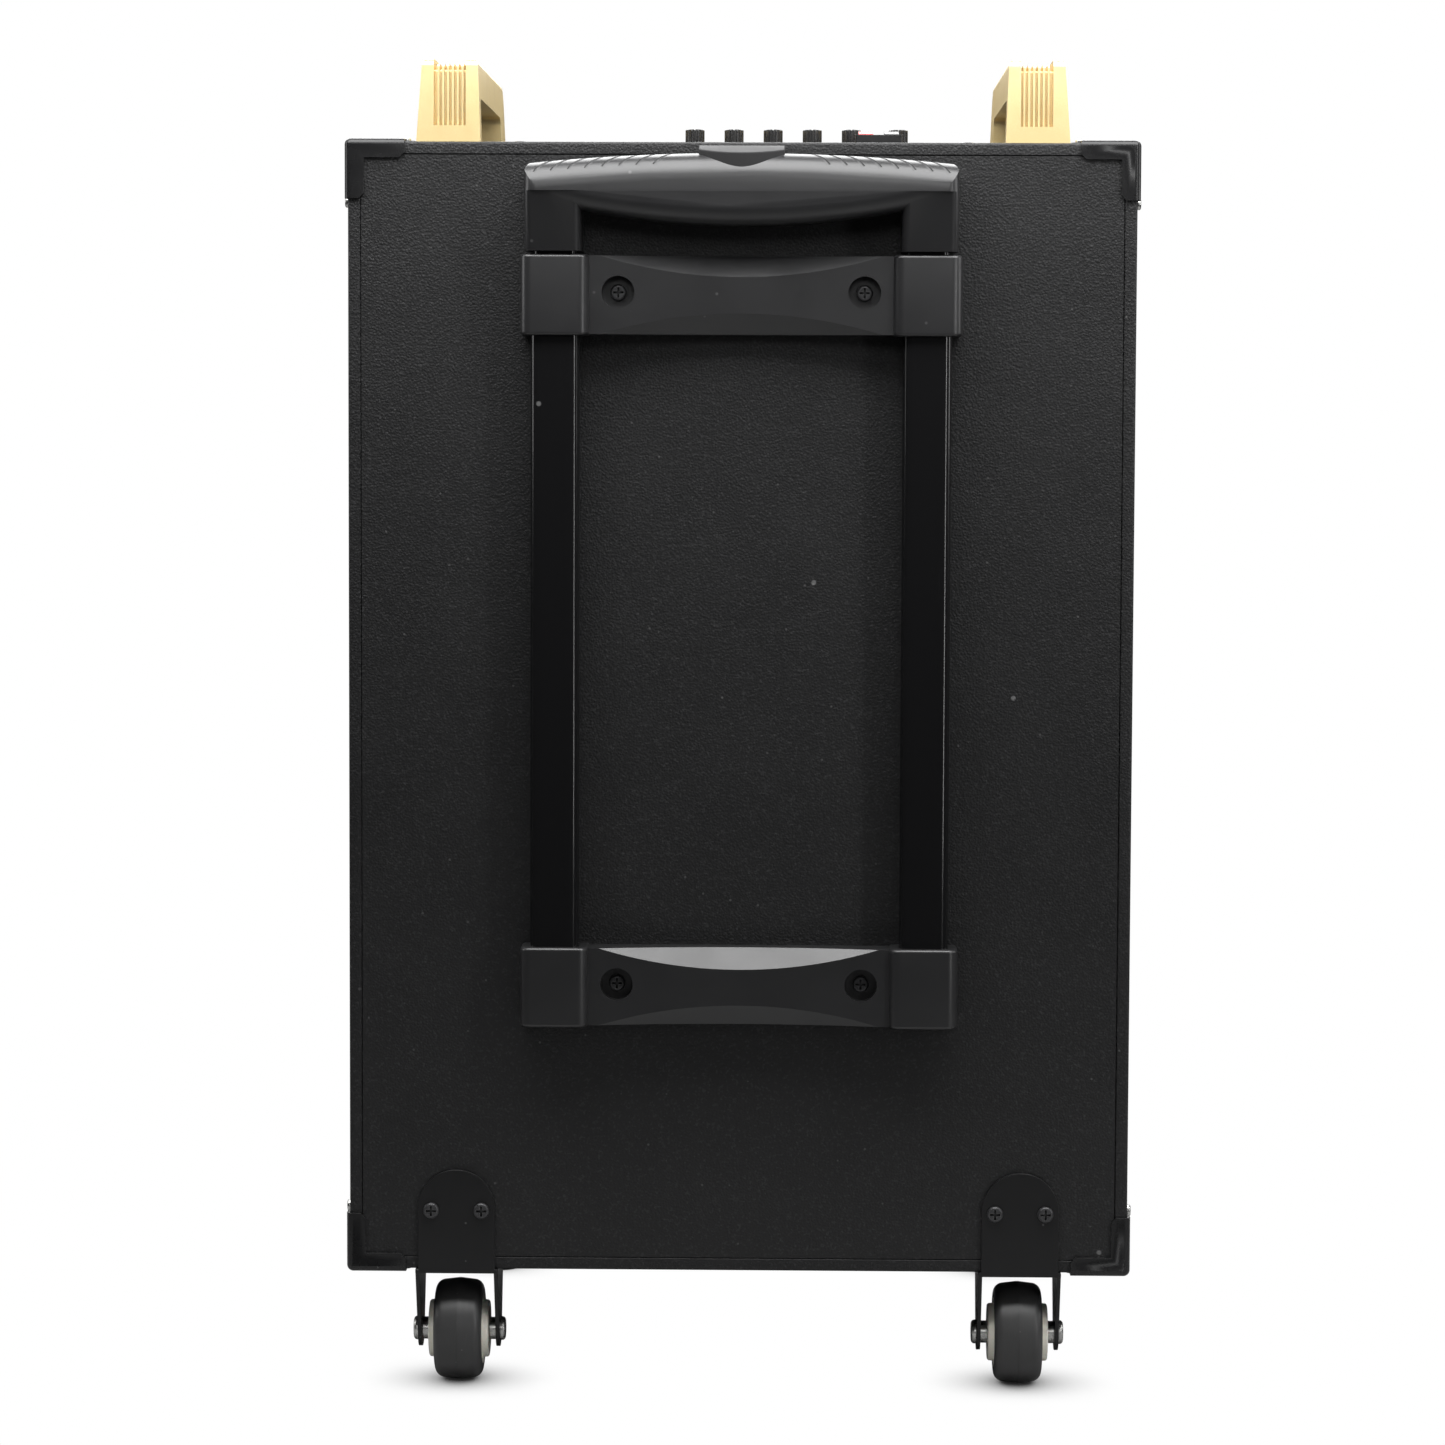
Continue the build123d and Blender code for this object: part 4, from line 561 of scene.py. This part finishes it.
def frame_point(corner, inward, y):
    """A point of the rounded rectangle moved inward by a distance, at a depth y."""
    x, z, sign_x, sign_z, radius, angle = corner
    inset = max(inward, radius)
    r = radius - inward if inward < radius else 0.0
    return Vector((x + sign_x * inset + r * cos(angle), y, z + sign_z * inset + r * sin(angle)))


def frame_sweep(low_x, high_x, low_z, high_z, radius, profile, steps=6):
    """Sweeps a closed (inward, y) profile round a rounded rectangle."""
    bm = bmesh.new()
    loops = []
    for corner in rounded_frame(low_x, high_x, low_z, high_z, radius, steps):
        loops.append([frame_point(corner, inward, y) for inward, y in profile])
    add_loops(bm, loops)
    return clean(bm)


def add_box(bm, low, high):
    """Adds a plain box between two corners to a bmesh."""
    size = Vector(high) - Vector(low)
    centre = (Vector(high) + Vector(low)) / 2
    place = Matrix.Translation(centre) @ Matrix.Diagonal((*size, 1))
    return bmesh.ops.create_cube(bm, size=1, matrix=place)["verts"]


def tube_along(bm, points, radius, sides=10):
    """Adds a round tube through points to a bmesh, with flat ends."""
    rings = []
    for i, p in enumerate(points):
        ahead = Vector(points[min(i + 1, len(points) - 1)]) - Vector(points[max(i - 1, 0)])
        turn = ahead.to_track_quat("Z", "Y").to_matrix()
        ring = []
        for k in range(sides):
            a = 2 * pi * k / sides
            ring.append(Vector(p) + turn @ Vector((radius * cos(a), radius * sin(a), 0)))
        rings.append(ring)
    made = add_loops(bm, rings, closed_round=False)
    bm.faces.new(reversed(made[0]))
    bm.faces.new(made[-1])


# ================================================================ cabinet
def vinyl_wrap():
    """One continuous wrap round the cabinet, softened along every outside edge."""
    back_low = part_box("back_panel")[0]
    seam, wall = 0.25 * MM, 12 * MM
    lip = back_low.x - wrap_low.x - seam
    rebate = BACK_Y - back_low.y
    soft = 1.3 * MM
    front = [(soft + p[0], FRONT_Y + soft + p[1]) for p in arc((0, 0), soft, 270, 180, 4)]
    back = [(soft + p[0], BACK_Y - soft + p[1]) for p in arc((0, 0), soft, 180, 90, 4)]
    ease = 0.5 * MM
    rim = [(lip - ease, BACK_Y), (lip, BACK_Y - ease), (lip, BACK_Y - rebate), (wall, BACK_Y - rebate)]
    inner = [(wall, FRONT_Y + soft), (wall - soft, FRONT_Y)]
    profile = front + back + rim + inner
    bm = frame_sweep(wrap_low.x, wrap_high.x, BASE_Z, TOP_Z, 1.6 * MM, profile)
    piece("vinyl_wrap", bm, "wrap", replaced=("top_panel", "bottom_panel", "side_panels"))


def cabinet():
    vinyl_wrap()
    refine("back_panel", 0.5 * MM)
    refine("front_baffle")
    refine("corner_protectors", 0.3 * MM, sharp=24)
    refine("corner_screws", sharp=40)
    refine("carry_handles")
    refine("upper_tube_bracket", 0.5 * MM)
    refine("lower_tube_bracket", 0.5 * MM)
    refine("bracket_screws", sharp=40)
    refine("outer_tubes", sharp=24)
    refine("castor_brackets", 0.3 * MM)
    refine("castor_screws", sharp=40)
    refine("castor_axles", 0.15 * MM)


# ================================================================ pull handle
def grip_grooves(surface):
    """Thin grooves over the grip's brow, slanting towards the middle as they run back."""
    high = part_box("grip_upper_shell")[1]
    bm = bmesh.new()
    first, pitch, count, length = 34 * MM, 8.3 * MM, 8, 8.5 * MM
    start, end, depth, steps = 2.6 * MM, 11.5 * MM, 0.75 * MM, 12
    for side in (-1, 1):
        for k in range(count):
            path = []
            for i in range(steps + 1):
                t = i / steps
                x = side * (first + pitch * k + length * (1 - t))
                above = Vector((x, high.y - start - (end - start) * t, high.z + 0.1))
                path.append(surface.ray_cast(above, Vector((0, 0, -1)))[0])
            tube_along(bm, path, depth)
    return clean(bm)


def grip():
    shell = node_mesh("grip_upper_shell")
    cutters = grip_grooves(BVHTree.FromBMesh(shell))
    mesh = bpy.data.meshes.new("groove_cutters")
    cutters.to_mesh(mesh)
    cutters.free()
    cutter = bpy.data.objects.new("groove_cutters", mesh)
    bpy.context.scene.collection.objects.link(cutter)
    cutter.hide_render = True
    cutter.hide_viewport = True
    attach(cutter, BODY_OF["grip_upper_shell"])
    body = BODY_OF["grip_upper_shell"]
    upper = piece("show_grip_upper_shell", shell, "nylon", body, ("grip_upper_shell",))
    add_bevel(upper, 0.45 * MM)
    cut = upper.modifiers.new("grooves", "BOOLEAN")
    cut.object = cutter
    cut.operation = "DIFFERENCE"
    refine("grip_lower_shell", 0.45 * MM)
    refine("release_button", 0.5 * MM, material=nylon("matt_nylon", roughness=0.68, specular=0.35))
    refine("inner_tubes", sharp=24)
    refine("push_rods")
    refine("left_lock_pin")
    refine("right_lock_pin")


# ================================================================ castors and feet
TYRE_RIDGE = 0.14 * MM
HUB_BORE_R = 4.1 * MM


def tyre_outline(half, radius, bore):
    """(along, radius) outline: slightly crowned tread with a fine moulding ridge round its middle."""
    shoulder, crown = 5.0 * MM, 0.7 * MM
    right = arc((half - shoulder, radius - crown - shoulder), shoulder, 82, 6, 10)
    edge = [(half, radius - crown - shoulder), (half, bore + 0.6 * MM), (half - 0.6 * MM, bore)]
    ridge = [
        (0.9 * MM, radius - 0.05 * MM),
        (0.5 * MM, radius - 0.25 * MM),
        (0.3 * MM, radius - 0.02 * MM),
        (0.2 * MM, radius + TYRE_RIDGE),
    ]
    side = ridge + right + edge
    return [(-x, r) for x, r in reversed(side)] + side


def hub_outline(half, rim, axle):
    """(along, radius) outline: flange, recessed web and raised boss on each face."""
    soft = 0.6 * MM
    side = [
        (half - 3 * MM, rim),
        (half - 3 * MM, rim - 3.0 * MM),
        (half - soft, rim - 3.2 * MM),
        (half, rim - 3.8 * MM),
        (half, rim - 5.6 * MM),
        (half - soft, rim - 6.2 * MM),
        (half - 2.2 * MM, rim - 6.8 * MM),
        (half - 2.2 * MM, axle + 3.4 * MM),
        (half - soft, axle + 2.8 * MM),
        (half, axle + 2.4 * MM),
        (half, axle + 0.3 * MM),
    ]
    return [(-x, r) for x, r in reversed(side)] + side


def castors():
    for side in ("left", "right"):
        tyre, hub = side + "_wheel_tyre", side + "_wheel_hub"
        tyre_low, tyre_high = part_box(tyre)
        hub_low, hub_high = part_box(hub)
        centre = (tyre_low + tyre_high) / 2
        radius = (tyre_high.z - tyre_low.z) / 2 - TYRE_RIDGE
        half = (tyre_high.x - tyre_low.x) / 2
        rim = (hub_high.z - hub_low.z) / 2
        hub_half = (hub_high.x - hub_low.x) / 2
        bm = turned(centre, "x", tyre_outline(half, radius, rim))
        piece("show_" + tyre, bm, "tyre", BODY_OF[tyre], (tyre,))
        bm = turned(centre, "x", hub_outline(hub_half, rim, HUB_BORE_R))
        piece("show_" + hub, bm, "hub", BODY_OF[hub], (hub,))


def front_feet():
    """Tapered rubber feet with three shallow grooves."""
    low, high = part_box("front_feet")
    top_r = (high.y - low.y) / 2
    sole_r, bore_r = top_r - 5 * MM, 5 * MM
    tall = high.z - low.z
    first_groove, groove_pitch, groove_depth = 9 * MM, 7 * MM, 0.9 * MM
    outline = [(0, bore_r), (0, sole_r - 2 * MM), (0.6 * MM, sole_r - 0.6 * MM), (2 * MM, sole_r)]
    for k in range(3):
        z = first_groove + groove_pitch * k
        r = sole_r + (top_r - sole_r) * z / tall
        deep = r - groove_depth
        outline += [(z, r), (z + 0.7 * MM, deep), (z + 1.6 * MM, deep), (z + 2.3 * MM, r)]
    outline += [(tall - 4 * MM, top_r), (tall, top_r), (tall, bore_r)]
    for side, name in ((-1, "right_foot"), (1, "left_foot")):
        centre = (side * (high.x - top_r), (low.y + high.y) / 2, low.z)
        bm = turned(centre, "z", outline, 64)
        replaced = ("front_feet",) if side > 0 else ()
        piece(name, bm, "foot_rubber", replaced=replaced)


# ================================================================ front
def perforated_sheet(low_x, high_x, low_z, high_z, y, pitch, hole):
    """Flat sheet with staggered round holes. Every tile shares its corners with its neighbours.

    Each second row starts half a tile in, and a plain half tile fills either end of it.
    """
    bm = bmesh.new()
    columns = int((high_x - low_x) / pitch)
    rows = int((high_z - low_z) / (pitch * sqrt(3) / 2))
    px, pz = (high_x - low_x) / columns, (high_z - low_z) / rows
    shared = {}

    def corner(i, k):
        """Shared point at half-tile steps across and half-row steps up."""
        if (i, k) not in shared:
            shared[(i, k)] = bm.verts.new((low_x + i * px / 2, y, low_z + k * pz / 2))
        return shared[(i, k)]

    for row in range(rows):
        k = 2 * row
        shift = row % 2
        if shift:
            for i in (0, 2 * columns - 1):
                around = ((0, 0), (1, 0), (1, 1), (1, 2), (0, 2), (0, 1))
                bm.faces.new([corner(i + a, k + b) for a, b in around])
        for column in range(columns - shift):
            i = 2 * column + shift
            around = ((2, 1), (2, 2), (1, 2), (0, 2), (0, 1), (0, 0), (1, 0), (2, 0))
            outer = [corner(i + a, k + b) for a, b in around]
            cx, cz = low_x + (i + 1) * px / 2, low_z + (k + 1) * pz / 2
            circle = []
            for n in range(16):
                a = 2 * pi * n / 16
                circle.append(bm.verts.new((cx + hole * cos(a), y, cz + hole * sin(a))))
            for n in range(8):
                here, ahead = outer[n], outer[(n + 1) % 8]
                bm.faces.new((circle[2 * n], here, ahead, circle[2 * n + 1]))
                bm.faces.new((circle[2 * n + 1], ahead, circle[(2 * n + 2) % 16]))
    return bm


def grille():
    """Pressed grille: a perforated sheet in a plain rim that bends back into the opening."""
    low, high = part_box("front_grille")
    margin, sheet = 12.5 * MM, 1.2 * MM
    bend, pitch, hole = 3.0 * MM, 6.4 * MM, 2.2 * MM
    sheet_y = low.y + 0.1 * MM
    bm = perforated_sheet(
        low.x + margin, high.x - margin, low.z + margin, high.z - margin, sheet_y, pitch, hole
    )
    face = piece("grille_sheet", bm, "grille", replaced=("front_grille",))
    thick = face.modifiers.new("sheet", "SOLIDIFY")
    thick.thickness = sheet
    thick.offset = 1.0
    outer = [(bend + p[0], low.y + bend + p[1]) for p in arc((0, 0), bend, 180, 270, 6)]
    inner_r = bend - sheet
    inner = [(bend + p[0], low.y + bend + p[1]) for p in arc((0, 0), inner_r, 270, 180, 6)]
    profile = [(0, high.y)] + outer + [(margin + 0.4 * MM, low.y), (margin + 0.4 * MM, low.y + sheet)]
    profile += inner + [(sheet, high.y)]
    bm = frame_sweep(low.x, high.x, low.z, high.z, 9 * MM, profile, 8)
    piece("grille_rim", bm, "grille")
    refine("grille_screws", sharp=40)


def surround():
    """The cone's half-round surround, in sectors that each bend between the basket and the cone."""
    low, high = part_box("woofer_suspension")
    centre = (low + high) / 2
    outer_r = (high.x - low.x) / 2
    inner_r = outer_r - 20.6 * MM
    roll_height = 7.5 * MM
    base_y = low.y + roll_height
    sectors, steps, turn_steps = 16, 14, 8
    mid, half = (outer_r + inner_r) / 2, (outer_r - inner_r) / 2
    profile = [(outer_r, base_y + 0.9 * MM)]
    for k in range(steps + 1):
        a = pi * k / steps
        profile.append((mid + half * cos(a), base_y - roll_height * sin(a)))
    profile.append((inner_r - 2 * MM, base_y + 1.5 * MM))
    for n in range(sectors):
        bm = bmesh.new()
        loops = []
        for i in range(turn_steps + 1):
            a = 2 * pi * (n + i / turn_steps) / sectors
            loops.append([Vector((centre.x + r * cos(a), y, centre.z + r * sin(a))) for r, y in profile])
        add_loops(bm, loops, closed_round=False, closed_profile=False)
        made = piece("surround_%02d" % (n + 1), bm, "surround", body=None, sharp=60)
        thick = made.modifiers.new("cloth", "SOLIDIFY")
        thick.thickness = 0.9 * MM
        if n == 0:
            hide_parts("woofer_suspension")
        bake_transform(made)


def front():
    grille()
    refine("woofer_basket", sharp=30)
    refine("woofer_cone", sharp=40)
    refine("tweeter_horn", 0.4 * MM)
    refine("bass_ports", 0.3 * MM)


# ================================================================ control panel
def panel_print():
    """Scale ticks round each knob, and one thin rule between the two rows of controls."""
    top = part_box("control_panel")[1].z
    bm = bmesh.new()
    thick = 0.06 * MM
    ticks, tick_half = 11, 0.2 * MM
    for node in KNOBS:
        low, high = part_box(node)
        centre = (low + high) / 2
        radius = (high.x - low.x) / 2
        for k in range(ticks):
            a = radians(90 + 150 - 30 * k)
            place = Matrix.Translation((centre.x, centre.y, top)) @ Matrix.Rotation(a, 4, "Z")
            start, end = (radius + 1.2 * MM, -tick_half, 0), (radius + 2.6 * MM, tick_half, thick)
            verts = add_box(bm, start, end)
            bmesh.ops.transform(bm, matrix=place, verts=verts)
    low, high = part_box("control_panel")
    inset, line = 10 * MM, 0.35 * MM
    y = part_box("mode_button")[1].y + 9 * MM
    add_box(bm, (low.x + inset, y, top), (high.x - inset, y + line, top + thick))
    piece("panel_print", bm, "panel", material=WHITE_PRINT)


def seven_segments():
    """Four unlit digits under the display window's face."""
    low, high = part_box("display_window")
    bm = bmesh.new()
    wide, tall, bar = 7.0 * MM, 12.0 * MM, 1.1 * MM
    pitch = 12.0 * MM
    y_mid = (low.y + high.y) / 2
    top = high.z + 0.02 * MM
    bottom = top - 0.03 * MM

    def segment(x, y, half_x, half_y):
        add_box(bm, (x - half_x, y - half_y, bottom), (x + half_x, y + half_y, top))

    for k in range(4):
        x = (low.x + high.x) / 2 + (k - 1.5) * pitch
        for dy in (-tall / 2, 0, tall / 2):
            segment(x, y_mid + dy, wide / 2, bar / 2)
        for dx in (-wide / 2 - bar * 0.7, wide / 2 + bar * 0.7):
            for dy in (-tall / 4, tall / 4):
                segment(x + dx, y_mid + dy, bar / 2, tall / 4 - bar * 0.6)
    piece("display_digits", bm, "window", material=DIM_RED_PRINT)


def knob_pointers():
    """White line in each knob's pointer groove."""
    for node in KNOBS:
        low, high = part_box(node)
        centre = (low + high) / 2
        bm = bmesh.new()
        start, end, half = centre.y + 0.6 * MM, high.y - 0.9 * MM, 0.3 * MM
        bottom, top = high.z - 0.6 * MM, high.z - 0.25 * MM
        add_box(bm, (centre.x - half, start, bottom), (centre.x + half, end, top))
        piece("pointer_" + node, bm, "gloss", BODY_OF[node], material=WHITE_PRINT)


def controls():
    refine("control_panel", 0.2 * MM)
    for node in SLOT_OF:
        if node.endswith("_knob"):
            refine(node, 0.12 * MM, sharp=50)
        if node.endswith("_button") and node != "release_button":
            refine(node, 0.15 * MM)
        if node.endswith("_terminal_lever") or node in ("power_rocker", "terminal_base"):
            refine(node, 0.2 * MM)
    refine("panel_sockets", 0.15 * MM)
    refine("media_module", 0.15 * MM)
    refine("display_window", 0.15 * MM)
    refine("wood_screws", sharp=40)
    panel_print()
    seven_segments()
    knob_pointers()


def insides():
    """Parts nobody sees from outside keep their CAD shape and get their finish."""
    for node in (
        "woofer_magnet",
        "tweeter_driver",
        "amplifier_board",
        "power_supply",
        "battery",
        "battery_strap",
        "cables",
    ):
        refine(node)


# ================================================================ studio
def soft_light(name, place, aim, wide, tall, watts, spread=180):
    """A rectangular softbox aimed at a point. A small spread, in degrees, gathers its light."""
    light = bpy.data.lights.new(name, "AREA")
    light.shape = "RECTANGLE"
    light.size, light.size_y = wide, tall
    light.energy = watts
    light.spread = radians(spread)
    made = bpy.data.objects.new(name, light)
    made.location = place
    made.rotation_euler = (Vector(aim) - Vector(place)).to_track_quat("-Z", "Y").to_euler()
    bpy.context.scene.collection.objects.link(made)


def studio():
    """White surroundings that give almost no light, a floor, and alike softboxes at back and front."""
    world = bpy.data.worlds.new("studio")
    world.use_nodes = True
    bpy.context.scene.world = world
    tree = world.node_tree
    tree.nodes.clear()
    out = tree.nodes.new("ShaderNodeOutputWorld")
    seen = tree.nodes.new("ShaderNodeBackground")
    seen.inputs["Color"].default_value = (1, 1, 1, 1)
    lit = tree.nodes.new("ShaderNodeBackground")
    lit.inputs["Color"].default_value = (0.022, 0.022, 0.0225, 1)
    ray = tree.nodes.new("ShaderNodeLightPath")
    mix = tree.nodes.new("ShaderNodeMixShader")
    tree.links.new(ray.outputs["Is Camera Ray"], mix.inputs[0])
    tree.links.new(lit.outputs[0], mix.inputs[1])
    tree.links.new(seen.outputs[0], mix.inputs[2])
    tree.links.new(mix.outputs[0], out.inputs["Surface"])

    bm = bmesh.new()
    bmesh.ops.create_circle(bm, cap_ends=True, radius=3.0, segments=96)
    mesh = bpy.data.meshes.new("floor")
    bm.to_mesh(mesh)
    bm.free()
    floor = bpy.data.objects.new("floor", mesh)
    bpy.context.scene.collection.objects.link(floor)
    mesh.materials.append(floor_finish())

    middle = (0, 0, BASE_Z + HEIGHT / 2)
    for name, face_y, out in (("back", BACK_Y, 1), ("front", FRONT_Y, -1)):
        over = (0, face_y + out * 0.21, TOP_Z + 0.38)
        soft_light("key_" + name, over, (0, face_y, 0.40), wide=1.2, tall=0.45, watts=10.8)
        ahead = (0, face_y + out * 0.95, TOP_Z + 0.30)
        top_edge = (0, face_y, TOP_Z + 0.05)
        soft_light("fill_" + name, ahead, top_edge, wide=0.6, tall=0.3, watts=0.11, spread=50)
        low = (0, face_y + out * 1.2, 0.45)
        wheels = (0, face_y, -0.06)
        soft_light("low_" + name, low, wheels, wide=0.9, tall=0.2, watts=0.05, spread=25)
    for side in (-1, 1):
        name = "side_right" if side < 0 else "side_left"
        soft_light(name, (side * 1.5, 0, 1.0), middle, wide=0.6, tall=1.2, watts=5.5)
    # a narrow strip to one side draws the highlight down each tube
    soft_light("strip", (-0.95, BACK_Y + 0.8, 0.75), middle, wide=0.10, tall=1.3, watts=3.4)


def floor_finish():
    """White floor for light to bounce off; seen from above it glows white for the camera, with soft
    contact shadows painted in from ambient occlusion.

    It is clear from below, so that the underside can be looked at.
    """
    f = Finish("floor", (0.34, 0.34, 0.34), 0.6)
    f.vary_rough(f.noise(0.05, 3.0), 0.1)
    made = f.done()
    # painted shadow: camera rays see an emission whose colour follows ambient occlusion, darker near the
    # wheels and feet
    near = f.node("ShaderNodeAmbientOcclusion", samples=16)
    near.inputs["Distance"].default_value = 45 * MM
    glow = f.node("ShaderNodeEmission")
    f.link(f.fit(near.outputs["AO"], 0.10, 0.90, 0.01, 1.0), glow.inputs["Color"])
    distance = f.node("ShaderNodeVectorMath", operation="LENGTH")
    f.link(f.place, distance.inputs[0])
    far_off = f.fit(distance.outputs["Value"], 0.45, 1.3)
    below = f.node("ShaderNodeNewGeometry").outputs["Backfacing"]
    fade = f.math("MAXIMUM", far_off, below)
    clear = f.node("ShaderNodeBsdfTransparent")
    ray = f.node("ShaderNodeLightPath")
    shown, faded = f.node("ShaderNodeMixShader"), f.node("ShaderNodeMixShader")
    f.link(ray.outputs["Is Camera Ray"], shown.inputs[0])
    f.link(f.shader.outputs[0], shown.inputs[1])
    f.link(glow.outputs[0], shown.inputs[2])
    f.link(fade, faded.inputs[0])
    f.link(shown.outputs[0], faded.inputs[1])
    f.link(clear.outputs[0], faded.inputs[2])
    f.link(faded.outputs[0], f.tree.nodes["Material Output"].inputs["Surface"])
    return made


def camera():
    """Long lens behind the speaker, a little below its top, looking slightly down."""
    aside, behind, height = -28.1 * MM, 2172.5 * MM, 489.5 * MM
    yaw, down, roll = radians(0.97), radians(4.08), radians(0.22)
    data = bpy.data.cameras.new("camera")
    data.sensor_width = 36
    data.lens = 109.6
    made = bpy.data.objects.new("camera", data)
    turn = Matrix.Rotation(pi + yaw, 4, "Z") @ Matrix.Rotation(pi / 2 - down, 4, "X")
    place = Matrix.Translation((aside, BACK_Y + behind, height))
    made.matrix_world = place @ turn @ Matrix.Rotation(roll, 4, "Z")
    bpy.context.scene.collection.objects.link(made)
    bpy.context.scene.camera = made
    bpy.context.scene.view_settings.view_transform = "Standard"


cabinet()
grip()
castors()
front_feet()
front()
surround()
controls()
insides()
studio()
camera()
